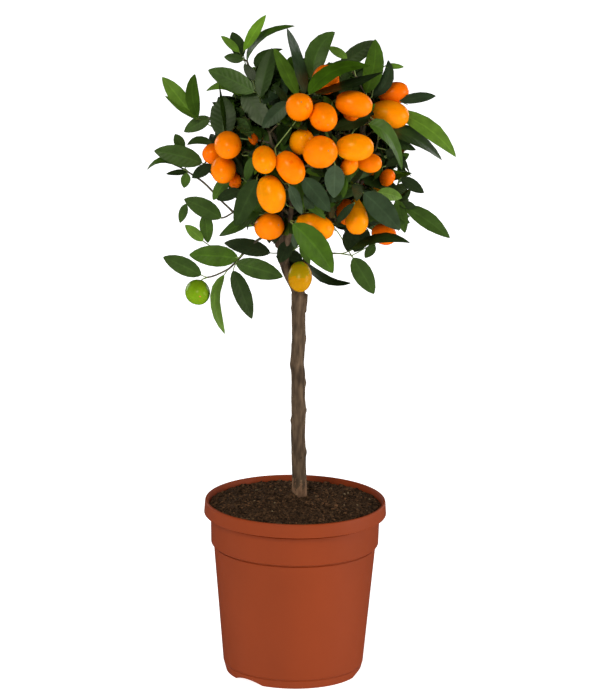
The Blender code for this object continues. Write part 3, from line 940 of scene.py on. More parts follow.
def add_calyx(shapes, fruit):
    """The small green star in which the stalk ends on a fruit."""
    top = fruit.middle - fruit.axis * (0.965 * fruit.half_length)
    side = fruit.axis.orthogonal().normalized()
    other = fruit.axis.cross(side)
    points = [top - fruit.axis * CALYX_RISE]
    for lift in (0.0, CALYX_THICKNESS):
        for number in range(CALYX_POINTS):
            out = round_axis(side, other, math.tau * number / CALYX_POINTS)
            points.append(top + out * CALYX_REACHES[number % 2] + fruit.axis * lift)
    faces = []
    for number in range(CALYX_POINTS):
        after = (number + 1) % CALYX_POINTS
        low, low_after = 1 + number, 1 + after
        faces.append((0, low_after, low))
        faces.append((low, low_after, CALYX_POINTS + low_after, CALYX_POINTS + low))
    faces.append(tuple(range(1 + CALYX_POINTS, 1 + 2 * CALYX_POINTS)))
    shapes.add(points, faces)


# Branches


class Skeleton:
    """Points along the branches from the fork outwards, each with its parent."""

    def __init__(self, fork):
        self.fork = fork
        self.places = []
        self.parents = []
        self.runs = []
        self.on_limb = []
        self.ends = []
        self.table = np.zeros((SKELETON_ROOM, 4))

    def add(self, place, parent, on_limb=False, end=False):
        number = len(self.places)
        run = 0.0
        if parent is not None:
            run = self.runs[parent] + (place - self.places[parent]).length
        self.places.append(place)
        self.parents.append(parent)
        self.runs.append(run)
        self.on_limb.append(on_limb)
        self.ends.append(1 if end else 0)
        self.table[number] = (*place, run)
        return number

    def add_line(self, points, parent, on_limb=False):
        for point in points:
            parent = self.add(point, parent, on_limb)
        return parent

    def nearest(self, place):
        """The point to grow a branch from: near, early on the way from the fork, and deep in the crown."""
        known = self.table[: len(self.places)]
        away = np.linalg.norm(known[:, :3] - np.array(place), axis=1)
        inner = np.linalg.norm(known[:, :3] - np.array(self.fork), axis=1)
        deep = np.linalg.norm(known[:, :3] - np.array(CROWN_MIDDLE), axis=1)
        cost = away + STRAIGHTNESS * known[:, 3]
        cost += OUTSIDE_COST * np.maximum(0.0, deep - (place - CROWN_MIDDLE).length)
        cost[inner > (place - self.fork).length] += BARRED_COST
        cost[away < NEAREST_START] += BARRED_COST
        return int(np.argmin(cost))

    def grow_to(self, place, arriving):
        """Adds a bent branch that reaches a place in a given direction, and gives its last point."""
        start = self.nearest(place)
        gap = (place - self.places[start]).length
        bend = place - arriving.normalized() * min(0.35 * gap, STALK_BEND)
        return self.add_line(curve_points(self.places[start], bend, place, TWIG_STEP), start)

    def smooth(self):
        """Evens out the bends of the twigs. Limbs and the feet of leaves and fruit stay."""
        children = {}
        for number, parent in enumerate(self.parents):
            children.setdefault(parent, []).append(number)
        old = list(self.places)
        for number, parent in enumerate(self.parents):
            if self.on_limb[number] or self.ends[number] or number not in children:
                continue
            after = average([old[child] for child in children[number]])
            self.places[number] = old[number] * 0.5 + (old[parent] + after) * 0.25

    def loads(self):
        """How many leaves and fruit each point carries."""
        loads = list(self.ends)
        for number in range(len(self.places) - 1, 0, -1):
            if self.parents[number] is not None:
                loads[self.parents[number]] += loads[number]
        return loads

    def twigs(self):
        """Each twig as its points, from where it leaves its parent outwards, and the load at each."""
        loads = self.loads()
        heirs = {}
        for number in range(len(self.places)):
            parent = self.parents[number]
            if parent is None or self.on_limb[number]:
                continue
            if parent not in heirs or loads[number] > loads[heirs[parent]]:
                heirs[parent] = number
        for number in range(len(self.places)):
            parent = self.parents[number]
            if parent is None or self.on_limb[number] or loads[number] == 0:
                continue
            if heirs[parent] == number and not self.on_limb[parent]:
                continue
            twig = [parent, number]
            while twig[-1] in heirs and loads[heirs[twig[-1]]] > 0:
                twig.append(heirs[twig[-1]])
            yield [self.places[n] for n in twig], [loads[number], *(loads[n] for n in twig[1:])]


def node_points(name):
    """The different points of a CAD node's mesh."""
    found = {tuple(round(value, 5) for value in vertex.co) for vertex in frame["nodes"][name].data.vertices}
    return [Vector(point) for point in sorted(found)]


def centre_line(name, cuts, foot):
    """The middle and radius of a CAD limb at even cuts across it, from the end nearer to a given foot."""
    mesh = frame["nodes"][name].data
    points = np.array([vertex.co[:] for vertex in mesh.vertices])
    edges = np.array([edge.vertices[:] for edge in mesh.edges])
    middle = points.mean(axis=0)
    axis = np.linalg.svd(points - middle, full_matrices=False)[2][0]
    if (np.array(foot) - middle) @ axis > 0.0:
        axis = -axis
    heights = (points - middle) @ axis
    low, high = heights.min(), heights.max()
    line = []
    for number in range(cuts):
        ends = heights[edges] - (low + (high - low) * (number + 0.5) / cuts)
        crossing = ends[:, 0] * ends[:, 1] < 0.0
        share = ends[crossing, 0] / (ends[crossing, 0] - ends[crossing, 1])
        first = points[edges[crossing, 0]]
        second = points[edges[crossing, 1]]
        ring = first + share[:, None] * (second - first)
        centre = ring.mean(axis=0)
        line.append((Vector(centre), float(np.linalg.norm(ring - centre, axis=1).mean())))
    return line


def spread_out(places, count, rng):
    """So many of the places, as far from each other as they can be."""
    chosen = [places[rng.randrange(len(places))]]
    while len(chosen) < min(count, len(places)):
        chosen.append(max(places, key=lambda place: min((place - other).length for other in chosen)))
    return chosen


def outer_points(points, middle):
    """Those points of a mass that face away from the crown's middle."""
    outer = []
    for point in points:
        if (point - middle).normalized().dot((point - CROWN_MIDDLE).normalized()) > FACING_OUT:
            outer.append(point)
    return outer or points


# The tree as a whole


class Tree(Skeleton):
    """The skeleton with its blades and fruit, and the tests that keep them apart."""

    def __init__(self, limb_lines):
        fork = limb_lines["trunk"][-1][0]
        super().__init__(fork)
        self.fruit = placed_hero_fruit()
        self.hero_fruit = list(self.fruit)
        self.hero_fruit_pixels = [to_photo(fruit.middle) for fruit in self.fruit]
        self.hero_blades = []
        self.blades = []
        root = self.add(fork, None, True)
        for name in BOUGHS:
            line = [place for place, _ in limb_lines[name]]
            if name in ("bough_left_leader", "bough_right"):
                parent = root
            else:
                parent = self.nearest(line[0])
            self.add_line(line, parent, True)

    def add_hero_shoots(self):
        for shoot in HERO_SHOOTS:
            points = [from_photo(pixel, face_depth(pixel, shoot.ahead)) for pixel in shoot.pixels]
            last = self.grow_to(points[0], points[1] - points[0])
            for before, after in zip(points, points[1:]):
                line = curve_points(before, before.lerp(after, 0.5), after, TWIG_STEP)
                last = self.add_line(line, last)
            self.ends[last] = 1

    def clear_of_fruit(self, blade, over):
        """The blade, moved along the line of sight until no fruit runs through it."""
        towards = (CAMERA_PLACE - blade.base).normalized() * (MILLIMETRE if over else -MILLIMETRE)
        for _ in range(HERO_MOVES):
            samples = blade_samples(blade)
            if not any(in_fruit(point, fruit, 0.001) for fruit in self.fruit for point in samples):
                break
            moved = (blade.base + towards, blade.bend + towards, blade.tip + towards)
            blade = blade._replace(base=moved[0], bend=moved[1], tip=moved[2])
        return blade

    def add_hero_leaves(self, rng):
        for leaf in HERO_LEAVES:
            blade = self.clear_of_fruit(hero_blade(leaf, rng), leaf.over)
            self.hero_blades.append((blade, leaf))
            self.blades.append(blade)

    def join_heroes(self):
        """Grows a stalk to each leaf and fruit that shows, those nearest to the fork first."""
        stalks = []
        for blade, _ in self.hero_blades:
            stalks.append((blade.base, blade.bend - blade.base))
        for fruit in self.fruit:
            top = fruit.middle - fruit.axis * (fruit.half_length + 0.0005)
            stalks.append((top, fruit.axis))
        stalks.sort(key=lambda stalk: (stalk[0] - self.fork).length)
        for place, arriving in stalks:
            last = self.grow_to(place, arriving)
            self.ends[last] = 1

    def tuck_twigs(self):
        """Moves what would cross in front of a leaf or fruit of the photograph to behind it."""
        for number, place in enumerate(self.places):
            if self.on_limb[number] or self.ends[number]:
                continue
            ahead_of = [depth for depth in self.heroes_at(to_photo(place)) if place.y < depth + TUCK]
            if ahead_of:
                ray = place - CAMERA_PLACE
                share = (max(ahead_of) + TUCK - CAMERA_PLACE.y) / ray.y
                self.places[number] = CAMERA_PLACE + ray * share

    def heroes_at(self, pixel):
        """The depths of the fruit and leaves of the photograph at a pixel, also of those behind others."""
        for fruit, place in zip(self.hero_fruit, self.hero_fruit_pixels):
            if (pixel - place).length * PIXEL < fruit.radius:
                yield fruit.middle.y
        for blade, leaf in self.hero_blades:
            start = Vector(leaf.base)
            along = Vector(leaf.tip) - start
            share = (pixel - start).dot(along) / along.length_squared
            if 0.0 < share < 1.0 and (pixel - start - along * share).length < HERO_COVER * leaf.width:
                yield max(blade.base.y, blade.tip.y)

    def covers_hero(self, point):
        """Whether a point hides a leaf, a fruit or a gap that shows in the photograph."""
        pixel = to_photo(point)
        for middle, reach in HERO_GAPS:
            if (pixel - Vector(middle)).length < reach and point.y < face_depth(pixel, -GAP_DEPTH):
                return True
        return any(point.y < depth for depth in self.heroes_at(pixel))

    def behind_hero(self, point):
        return any(point.y > depth for depth in self.heroes_at(to_photo(point)))

    def fits(self, blade, margin):
        """Whether a blade stays off the fruit, in the solids' box and, by a margin, inside the outline."""
        samples = blade_samples(blade)
        for point in samples:
            if not inside_outline(to_photo(point), margin) or not in_cad_box(point):
                return False
        if any(in_fruit(point, fruit, 0.0006) for fruit in self.fruit for point in samples):
            return False
        return not any(self.covers_hero(point) for point in samples)

    def hidden_in_front(self, fruit):
        """Whether a fruit is behind the dense crown, or leaves and fruit that show hide it."""
        samples = fruit_samples(fruit)
        pixels = [to_photo(point) for point in samples]
        if not all(inside_outline(pixel) for pixel in pixels):
            return False
        hidden = sum(1 for point in samples if self.behind_hero(point))
        if hidden > RULE_FRUIT_HIDDEN * len(samples):
            return True
        if fruit.middle.y < CROWN_MIDDLE.y + BEHIND_MIDDLE:
            return False
        return all(inside_outline(pixel, BEHIND_MARGIN) for pixel in pixels)

    def add_rule_fruit(self, rng):
        """Fruit on the sides and the back, where the photograph doesn't show."""
        wanted = len(self.fruit) + RULE_FRUIT
        for _ in range(RULE_FRUIT_TRIES):
            if len(self.fruit) == wanted:
                break
            turn = rng.uniform(*RULE_FRUIT_TURNS)
            out = on_ball(turn, rng.uniform(*RULE_FRUIT_HEIGHTS))
            middle = stretched(out, RULE_FRUIT_REACH) * rng.uniform(*RULE_FRUIT_DEPTHS)
            drop = Vector((rng.uniform(-0.3, 0.3), rng.uniform(-0.3, 0.3), -1.0))
            axis = (out * rng.uniform(0.5, 1.2) + drop * rng.uniform(0.4, 1.1)).normalized()
            radius = RULE_FRUIT_RADIUS * rng.uniform(*RULE_FRUIT_SIZES)
            ripe = rng.choice(RULE_FRUIT_RIPENESS)
            stem_ripe = ripe + rng.choice(RULE_STEM_STEPS)
            half_length = radius * rng.uniform(*RULE_FRUIT_SHAPES)
            fruit = Fruit(CROWN_MIDDLE + middle, axis, radius, half_length, ripe, stem_ripe, 0.0)
            if self.hidden_in_front(fruit) and not any(fruits_meet(fruit, other) for other in self.fruit):
                self.fruit.append(fruit)

    def grow_leaf(self, node, along, turn, rng, palette):
        """A leaf on a short stalk from a point of a shoot, if there is room for it."""
        for attempt in range(LEAF_ATTEMPTS):
            if self.try_leaf(node, along, turn + ATTEMPT_TURN * attempt, rng, palette):
                break

    def try_leaf(self, node, along, turn, rng, palette):
        """Adds a leaf at one turn round the shoot, if it fits there. In front it takes the darker shades,
        as painted shade.
        """
        place = self.places[node]
        radial = Matrix.Rotation(turn, 3, along) @ across_to(UP, along)
        angle = LEAF_ANGLE + rng.uniform(*LEAF_ANGLE_SPREAD)
        out = (along * math.cos(angle) + radial * math.sin(angle) + UP * 0.12).normalized()
        base = place + out * (PETIOLE * rng.uniform(*PETIOLE_SPREAD))
        length = rng.uniform(*LEAF_LENGTHS)
        up = (along * 0.8 + UP * 0.9 + (place - CROWN_MIDDLE).normalized() * 0.5).normalized()
        droop = rng.uniform(*LEAF_DROOPS) * length
        tip = base + out * length - UP * droop
        bend = base + out * (0.5 * length) + UP * (0.25 * droop)
        width = min(LARGEST_LEAF_WIDTH, length * rng.uniform(*LEAF_WIDTHS))
        fold = LEAF_FOLD * rng.uniform(*FOLD_SPREAD)
        wave = LEAF_WAVE * rng.uniform(*WAVE_SPREAD)
        shade = rng.choice(PAINTED_SHADE_PALETTE if base.y < CROWN_MIDDLE.y - FRONT_FROM else palette)
        blade = Blade(base, bend, tip, width, up, fold, wave, shade)
        behind = min(1.0, max(0.0, (base.y - CROWN_MIDDLE.y) / RAGGED_FROM))
        if not self.fits(blade, behind * rng.uniform(0.0, RAGGED_EDGE)):
            return False
        self.blades.append(blade)
        self.add(base, node, end=True)
        return True

    def grow_shoot(self, target, rng, palette):
        """A leafy shoot to a place on the outside of a mass, drawn back by the reach of its last leaves."""
        out = (target - CROWN_MIDDLE).normalized()
        place = target - out * SHOOT_PULL_BACK
        place.y = max(place.y, face_depth(to_photo(place), -BEHIND_FACE))
        start = self.nearest(place)
        gap = place - self.places[start]
        half_way = self.places[start] + gap * 0.5
        bend = half_way - out * (0.15 * gap.length) + UP * (0.05 * gap.length)
        line = curve_points(self.places[start], bend, place, SHOOT_STEP)
        node = start
        turn = rng.uniform(0.0, math.tau)
        for number, point in enumerate(line):
            along = (point - self.places[node]).normalized()
            node = self.add(point, node)
            turn += PHYLLOTAXIS
            if number >= BARE_SHARE * len(line):
                self.grow_leaf(node, along, turn, rng, palette)
        for _ in range(LEAVES_AT_TIP):
            turn += PHYLLOTAXIS
            self.grow_leaf(node, (out + along).normalized(), turn, rng, palette)

    def grow_filling(self, count, rng):
        """Shoots to evenly spread places on the crown's outside, drawn in to the dense outline."""
        turn = rng.uniform(0.0, math.tau)
        for number in range(count):
            height = 1.0 - 2.0 * (number + 0.5) / count
            turn += PHYLLOTAXIS
            reach = stretched(on_ball(turn, height), CROWN_HALF)
            share = rng.uniform(*FILLING_REACHES)
            while share > LEAST_REACH and not inside_outline(to_photo(CROWN_MIDDLE + reach * share)):
                share -= REACH_STEP
            palette = rng.choice(FILLING_PALETTES)
            self.grow_shoot(CROWN_MIDDLE + reach * share, rng, palette)

    def grow_mass(self, name, shoots, palette, rng):
        """A twig to the middle of a mass or spray, and leafy shoots from there to its outside."""
        points = node_points(name)
        middle = average(points)
        if not inside_outline(to_photo(middle)):
            return
        self.grow_to(middle, middle - CROWN_MIDDLE)
        for target in spread_out(outer_points(points, middle), shoots, rng):
            spray_palette = (*palette, rng.choice(palette), rng.choice(palette))
            self.grow_shoot(target, rng, spray_palette)


def grown_tree(limb_lines):
    rng = random.Random(GROWTH_SEED)
    tree = Tree(limb_lines)
    tree.add_hero_shoots()
    tree.add_hero_leaves(rng)
    tree.add_rule_fruit(rng)
    for name in MAIN_MASSES:
        tree.grow_mass(name, SHOOTS_PER_MASS, CROWN_PALETTE, rng)
    for name in SPRAYS:
        tree.grow_mass(name, SHOOTS_PER_SPRAY, SPRAY_PALETTE, rng)
    tree.grow_filling(FILLING_SHOOTS, rng)
    tree.join_heroes()
    for _ in range(SMOOTHING_ROUNDS):
        tree.tuck_twigs()
        tree.smooth()
    tree.tuck_twigs()
    return tree


# Materials


class Look:
    """A material and the nodes that feed its shader."""

    def __init__(self, name, colour, roughness, gloss=0.5, tint=WHITE):
        self.material = bpy.data.materials.new(name)
        self.material.use_nodes = True
        self.tree = self.material.node_tree
        self.shader = self.tree.nodes["Principled BSDF"]
        self.set("Base Color", (*colour, 1.0))
        self.set("Roughness", roughness)
        self.set("Specular IOR Level", gloss)
        self.set("Specular Tint", (*tint, 1.0))

    def set(self, socket, value):
        self.shader.inputs[socket].default_value = value

    def feed(self, socket, value):
        self.tree.links.new(value, self.shader.inputs[socket])

    def node(self, kind, inputs, **settings):
        """A new node with its settings, whose inputs are plain values or the outputs of other nodes."""
        node = self.tree.nodes.new("ShaderNode" + kind)
        for name, value in settings.items():
            setattr(node, name, value)
        for socket, value in inputs.items():
            if isinstance(value, bpy.types.NodeSocket):
                self.tree.links.new(value, node.inputs[socket])
            else:
                node.inputs[socket].default_value = value
        return node

    def noise(self, scale, detail, stretch=(1.0, 1.0, 1.0)):
        """A noise over the object's own space, stretched along its axes."""
        place = self.node("TexCoord", {}).outputs["Object"]
        mapped = self.node("Mapping", {"Vector": place, "Scale": stretch}).outputs["Vector"]
        return self.node("TexNoise", {"Vector": mapped, "Scale": scale, "Detail": detail}).outputs["Fac"]

    def ramp(self, value, *stops):
        """A colour ramp through (place, colour) stops."""
        node = self.node("ValToRGB", {"Fac": value})
        elements = node.color_ramp.elements
        while len(elements) < len(stops):
            elements.new(0.5)
        for element, (place, colour) in zip(elements, stops):
            element.position = place
            element.color = (*colour, 1.0)
        return node.outputs["Color"]

    def paint(self, value, *stops):
        self.feed("Base Color", self.ramp(value, *stops))

    def vary_roughness(self, value, low, high):
        node = self.node("MapRange", {"Value": value, "To Min": low, "To Max": high})
        self.feed("Roughness", node.outputs["Result"])

    def bump(self, height, strength, distance):
        node = self.node("Bump", {"Height": height, "Strength": strength, "Distance": distance})
        self.feed("Normal", node.outputs["Normal"])

    def calculate(self, operation, *values):
        return self.node("Math", dict(enumerate(values)), operation=operation).outputs[0]

    def veins(self):
        """Side veins that leave the midrib at a slant, from the place across and along the blade."""
        place = self.node("UVMap", {}, uv_map="Blade").outputs["UV"]
        split = self.node("SeparateXYZ", {"Vector": place}).outputs
        out = self.calculate("ABSOLUTE", split["X"])
        along = self.calculate("MULTIPLY_ADD", out, -VEIN_SLANT, split["Y"])
        return self.calculate("SINE", self.calculate("MULTIPLY", along, math.tau * SIDE_VEINS))


def leaf_material(name, colour, roughness, veined):
    look = Look(name, colour, roughness, 0.27, LEAF_SHEEN)
    look.paint(look.noise(90.0, 3.0), (0.3, scaled(colour, 0.80)), (0.7, scaled(colour, 1.20)))
    look.vary_roughness(look.noise(160.0, 2.0), roughness - 0.07, roughness + 0.1)
    if veined:
        look.bump(look.veins(), 0.22, 0.0002)
    return look.material


def leaf_materials():
    """The blade in every shade, then the midrib, then the underside."""
    sides = (
        ("leaf", 1.0, 0.40, True),
        ("midrib", RIB_LIFT, 0.45, False),
        ("underside", UNDERSIDE_LIFT, 0.60, True),
    )
    materials = []
    for side, lift, roughness, veined in sides:
        for shade, values in LEAF_SHADES.items():
            colour = scaled(srgb(*values), lift)
            materials.append(leaf_material(f"{side}_{shade}", colour, roughness, veined))
    return materials


def fruit_materials():
    """One peel for each step of ripeness, and the brown navel at the blossom end."""
    materials = []
    for step, values in enumerate(RIPENESS):
        colour = srgb(*values)
        look = Look(f"peel_{step}", colour, 0.25, 0.18, PEEL_SHEEN)
        look.set("Subsurface Weight", 0.08)
        look.set("Subsurface Radius", (1.0, 0.35, 0.05))
        look.set("Subsurface Scale", 0.0025)
        look.paint(look.noise(130.0, 3.0), (0.3, scaled(colour, 0.9)), (0.7, scaled(colour, 1.06)))
        look.bump(look.noise(1100.0, 1.0), 0.22, 0.00025)
        materials.append(look.material)
    return [*materials, Look("navel", srgb(186, 112, 30), 0.7).material]


def twig_material(name, colour, paler):
    look = Look(name, colour, 0.6)
    streaks = look.noise(240.0, 4.0, (1.0, 1.0, 0.3))
    look.paint(streaks, (0.3, colour), (0.7, paler))
    look.bump(streaks, 0.4, 0.0003)
    return look.material


def bark_material(name, dark, middle, light):
    look = Look(name, middle, 0.82, 0.10)
    streaks = look.noise(230.0, 6.0, (1.0, 1.0, 0.22))
    colour = look.ramp(streaks, (0.30, dark), (0.50, middle), (0.72, light))
    patches = look.noise(60.0, 3.0, (1.0, 1.0, 0.5))
    tint = look.ramp(patches, (0.35, (0.90, 0.89, 0.88)), (0.65, (1.06, 1.05, 1.03)))
    inputs = {"Factor": 1.0, "A": colour, "B": tint}
    mix = look.node("Mix", inputs, data_type="RGBA", blend_type="MULTIPLY")
    look.feed("Base Color", mix.outputs["Result"])
    look.bump(look.noise(900.0, 5.0, (1.0, 1.0, 0.3)), 0.5, 0.0004)
    return look.material


def pot_material():
    colour = srgb(134, 53, 15)
    look = Look("pot_plastic", colour, 0.52, 0.18)
    haze = look.noise(16.0, 5.0, (1.0, 1.0, 0.6))
    look.paint(haze, (0.3, scaled(colour, 0.94)), (0.7, scaled(colour, 1.05)))
    look.vary_roughness(look.noise(45.0, 4.0), 0.46, 0.60)
    look.bump(look.noise(1500.0, 3.0), 0.12, 0.0002)
    return look.material


def soil_material(name, dark, light):
    look = Look(name, dark, 0.95, 0.08)
    look.paint(look.noise(420.0, 8.0), (0.35, dark), (0.68, light))
    look.bump(look.noise(900.0, 8.0), 1.0, 0.0012)
    return look.material


# Pieces


def add_piece(obj, slot, *nodes):
    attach(obj, "root")
    if nodes:
        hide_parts(*nodes)


def make_leaves(tree):
    """The leaves of the crown's masses and those of the sprays round it, as two pieces."""
    materials = leaf_materials()
    middles = {name: average(node_points(name)) for name in (*MAIN_MASSES, *SPRAYS)}
    crown = Shapes()
    sprays = Shapes()
    for number, blade in enumerate(tree.blades):
        place = blade.base.lerp(blade.tip, 0.6)
        mass = min(middles, key=lambda name: (middles[name] - place).length)
        add_blade(sprays if mass in SPRAYS else crown, blade, 1.7 * number)
    add_piece(crown.make("crown_leaves", materials), "leaf_green", *MAIN_MASSES)
    add_piece(sprays.make("spray_leaves", materials), "young_leaf_green", *SPRAYS)


def make_twigs(tree):
    """The twigs, brown where they carry much and green towards their ends, and the stars on the fruit."""
    woody = Shapes()
    green = Shapes()
    for line, loads in tree.twigs():
        radii = [TWIG_RADIUS * load**TWIG_POWER for load in loads]
        brown = sum(1 for load in loads if load >= WOODY_FROM)
        if brown > 1:
            woody.add(*tube_shape(line[:brown], radii[:brown], WOODY_SIDES))
        if brown < len(line):
            first = max(0, brown - 1)
            green.add(*tube_shape(line[first:], radii[first:], GREEN_SIDES))
    for fruit in tree.fruit:
        add_calyx(green, fruit)
    bark = twig_material("twig_bark", srgb(58, 50, 34), srgb(92, 84, 56))
    stalk = twig_material("green_stalk", srgb(86, 108, 44), srgb(128, 146, 74))
    add_piece(woody.make("twigs_woody", [bark]), "bark")
    add_piece(green.make("twigs_green", [stalk]), "young_leaf_green")


def make_fruit(tree):
    """All the fruit as one piece, without a slot, because no slot in the frame is a peel."""
    rng = random.Random(GROWTH_SEED + 1)
    shapes = Shapes()
    for fruit in tree.fruit:
        add_fruit(shapes, fruit, rng)
    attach(shapes.make("fruit", fruit_materials()), "root")


def limb_tubes(limb_lines):
    """The limbs as overlapping tubes: each runs on into its parent and into its mass."""
    shapes = Shapes()
    for name, line in limb_lines.items():
        run_on = TRUNK_RUN_ON if name == "trunk" else BOUGH_RUN_ON
        places = [place for place, _ in line]
        radii = [radius for _, radius in line]
        first = places[0] + (places[0] - places[1]).normalized() * run_on.before
        last = places[-1] + (places[-1] - places[-2]).normalized() * run_on.after
        radii = [radii[0] * run_on.widening, *radii, radii[-1] * run_on.narrowing]
        shapes.add(*tube_shape([first, *places, last], radii, LIMB_SIDES))
    fork_depth = limb_lines["trunk"][-1][0].y
    stub = [from_photo(pixel, fork_depth - MILLIMETRE) for pixel in STUB_PIXELS]
    shapes.add(*tube_shape(stub, STUB_RADII, STUB_SIDES))
    return shapes


def apply_modifiers(obj):
    """Makes an object's modifiers part of its mesh."""
    graph = bpy.context.evaluated_depsgraph_get()
    mesh = bpy.data.meshes.new_from_object(obj.evaluated_get(graph))
    old = obj.data
    obj.modifiers.clear()
    obj.data = mesh
    bpy.data.meshes.remove(old)


def bark_relief(place):
    """How far the bark stands out at a place: long furrows, lumps and grain."""
    furrows = noise.noise(Vector((place.x * 520.0, place.y * 520.0, place.z * 70.0)))
    lumps = noise.noise(place * 130.0)
    grain = noise.noise(Vector((place.x * 1300.0, place.y * 1300.0, place.z * 420.0)))
    return 0.00026 * lumps - 0.00022 * (1.0 - abs(furrows)) ** 3 + 0.00010 * grain


def knot_places(trunk_depth):
    """Each knot with its place, at the trunk's edge or on its front."""
    depths = {False: trunk_depth, True: trunk_depth - TRUNK_FRONT}
    return [(from_photo(knot.pixel, depths[knot.in_front]), knot) for knot in KNOTS]


def raise_bark(mesh, knots):
    """Moves the bark in and out by its relief and its knots. A knot in front has a scar in its middle."""
    normals = [vertex.normal.copy() for vertex in mesh.vertices]
    for vertex, normal in zip(mesh.vertices, normals):
        rise = bark_relief(vertex.co)
        for place, knot in knots:
            off = (vertex.co - place).length / (knot.reach * MILLIMETRE)
            if off < KNOT_EDGE:
                rise += knot.rise * MILLIMETRE * math.exp(-off * off)
                if knot.in_front:
                    rise -= SCAR_DEPTH * knot.rise * MILLIMETRE * math.exp(-(SCAR_SHARPNESS * off) ** 2)
        vertex.co += normal * rise


def paint_bark(mesh, knots):
    """Gives the scars their dark material, and the foot its paler one up to an uneven edge."""
    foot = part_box("trunk")[0].z
    scars = [place for place, knot in knots if knot.in_front]
    for face in mesh.polygons:
        centre = face.center
        streak = Vector((centre.x * 420.0, centre.y * 420.0, centre.z * 90.0))
        edge = 0.013 + 0.012 * noise.noise(streak) + 0.006 * noise.noise(centre * 700.0)
        if any((centre - place).length < SCAR_REACH for place in scars):
            face.material_index = 1
        else:
            face.material_index = 2 if centre.z < foot + edge else 0


def make_bark(limb_lines):
    materials = [
        bark_material("trunk_bark", srgb(50, 40, 30), srgb(80, 65, 50), srgb(106, 88, 69)),
        bark_material("bark_scar", srgb(34, 25, 18), srgb(52, 38, 26), srgb(70, 54, 40)),
        bark_material("trunk_foot", srgb(74, 56, 42), srgb(118, 90, 68), srgb(152, 124, 94)),
    ]
    obj = limb_tubes(limb_lines).make("trunk_and_boughs", materials)
    remesh = obj.modifiers.new("Join", "REMESH")
    remesh.mode = "VOXEL"
    remesh.voxel_size = BARK_VOXEL
    smooth = obj.modifiers.new("Soften", "SMOOTH")
    smooth.factor = 0.5
    smooth.iterations = BARK_ROUNDS
    apply_modifiers(obj)
    knots = knot_places(limb_lines["trunk"][KNOT_CUT][0].y)
    raise_bark(obj.data, knots)
    paint_bark(obj.data, knots)
    obj.data.shade_smooth()
    add_piece(obj, "bark", "trunk", *BOUGHS)


def rounded_profile(corners, steps):
    """Points of a turned profile whose corners, apart from its two ends, are rounded by short arcs."""
    spots = [Vector(corner[:2]) for corner in corners]
    points = [spots[0]]
    for number in range(1, len(corners) - 1):
        here = spots[number]
        before = spots[number - 1] - here
        after = spots[number + 1] - here
        start = here + before.normalized() * min(corners[number].round, 0.45 * before.length)
        end = here + after.normalized() * min(corners[number].round, 0.45 * after.length)
        points += [curve_point(start, here, end, step / steps) for step in range(steps + 1)]
    return [*points, spots[-1]]


def cylinder_cutter(name, radius, length, sides, matrix):
    bm = bmesh.new()
    bmesh.ops.create_cone(bm, cap_ends=True, segments=sides, radius1=radius, radius2=radius, depth=length)
    bmesh.ops.transform(bm, matrix=matrix, verts=bm.verts)
    mesh = bpy.data.meshes.new(name)
    bm.to_mesh(mesh)
    bm.free()
    return bpy.data.objects.new(name, mesh)


def pot_cutters():
    """Upright cylinders for the drain holes, and lying ones whose tops cut the arches in the foot ring."""
    cutters = bpy.data.collections.new("pot_cutters")
    for number, place in enumerate(ring_points(DRAIN_RING, 0.0, DRAIN_COUNT)):
        matrix = Matrix.Translation(place)
        drain = cylinder_cutter(f"drain_{number}", DRAIN_RADIUS, DRAIN_CUT, DRAIN_SIDES, matrix)
        cutters.objects.link(drain)
    radius = (0.25 * ARCH_WIDTH**2 + ARCH_HEIGHT**2) / (2.0 * ARCH_HEIGHT)
    lying = Matrix.Rotation(math.radians(90.0), 4, "Y")
    for number in range(ARCH_COUNT):
        turn = FIRST_ARCH + math.tau * number / ARCH_COUNT
        place = Vector((ARCH_RING * math.cos(turn), ARCH_RING * math.sin(turn), ARCH_HEIGHT - radius))
        matrix = Matrix.Translation(place) @ Matrix.Rotation(turn, 4, "Z") @ lying
        cutters.objects.link(cylinder_cutter(f"arch_{number}", radius, ARCH_CUT, ARCH_SIDES, matrix))
    return cutters


def make_pot():
    shapes = Shapes()
    shapes.add(*lathe(rounded_profile(POT_CORNERS, ROUNDING_STEPS), POT_SEGMENTS))
    pot = shapes.make("pot_shell", [pot_material()])
    bm = bmesh.new()
    bm.from_mesh(pot.data)
    bmesh.ops.recalc_face_normals(bm, faces=bm.faces)
    bm.to_mesh(pot.data)
    bm.free()
    cutters = pot_cutters()
    cut = pot.modifiers.new("Drains and arches", "BOOLEAN")
    cut.operand_type = "COLLECTION"
    cut.collection = cutters
    cut.solver = "EXACT"
    apply_modifiers(pot)
    for cutter in list(cutters.objects):
        bpy.data.objects.remove(cutter, do_unlink=True)
    bpy.data.collections.remove(cutters)
    pot.data.set_sharp_from_angle(angle=math.radians(40.0))
    add_piece(pot, "terracotta_plastic", "pot")


def on_soil(x, y, above=0.0):
    """The point on the soil's surface: domed, pressed flat round the foot, and heaped at its left."""
    reach = min(1.0, math.hypot(x, y) / SOIL_RADIUS)
    dome = SOIL_EDGE + (SOIL_TOP - SOIL_EDGE) * math.cos(0.5 * math.pi * reach) ** 0.8
    place = Vector((x, y, 0.0))
    lumps = 0.0013 * noise.noise(place * 55.0) + 0.0017 * noise.noise(place * 150.0)
    grains = 0.0011 * noise.noise(place * 420.0) + 0.0005 * noise.noise(place * 900.0)
    pressed = min(1.0, math.hypot(x - FOOT[0], y - FOOT[1]) / FOOT_REACH) ** 2
    beside = math.hypot(x - HEAP[0], y - HEAP[1]) / HEAP_REACH
    heap = HEAP_RISE * math.exp(-beside * beside) * (1.0 + 0.5 * noise.noise(place * 300.0))
    return Vector((x, y, dome + lumps * pressed + grains + heap + above))


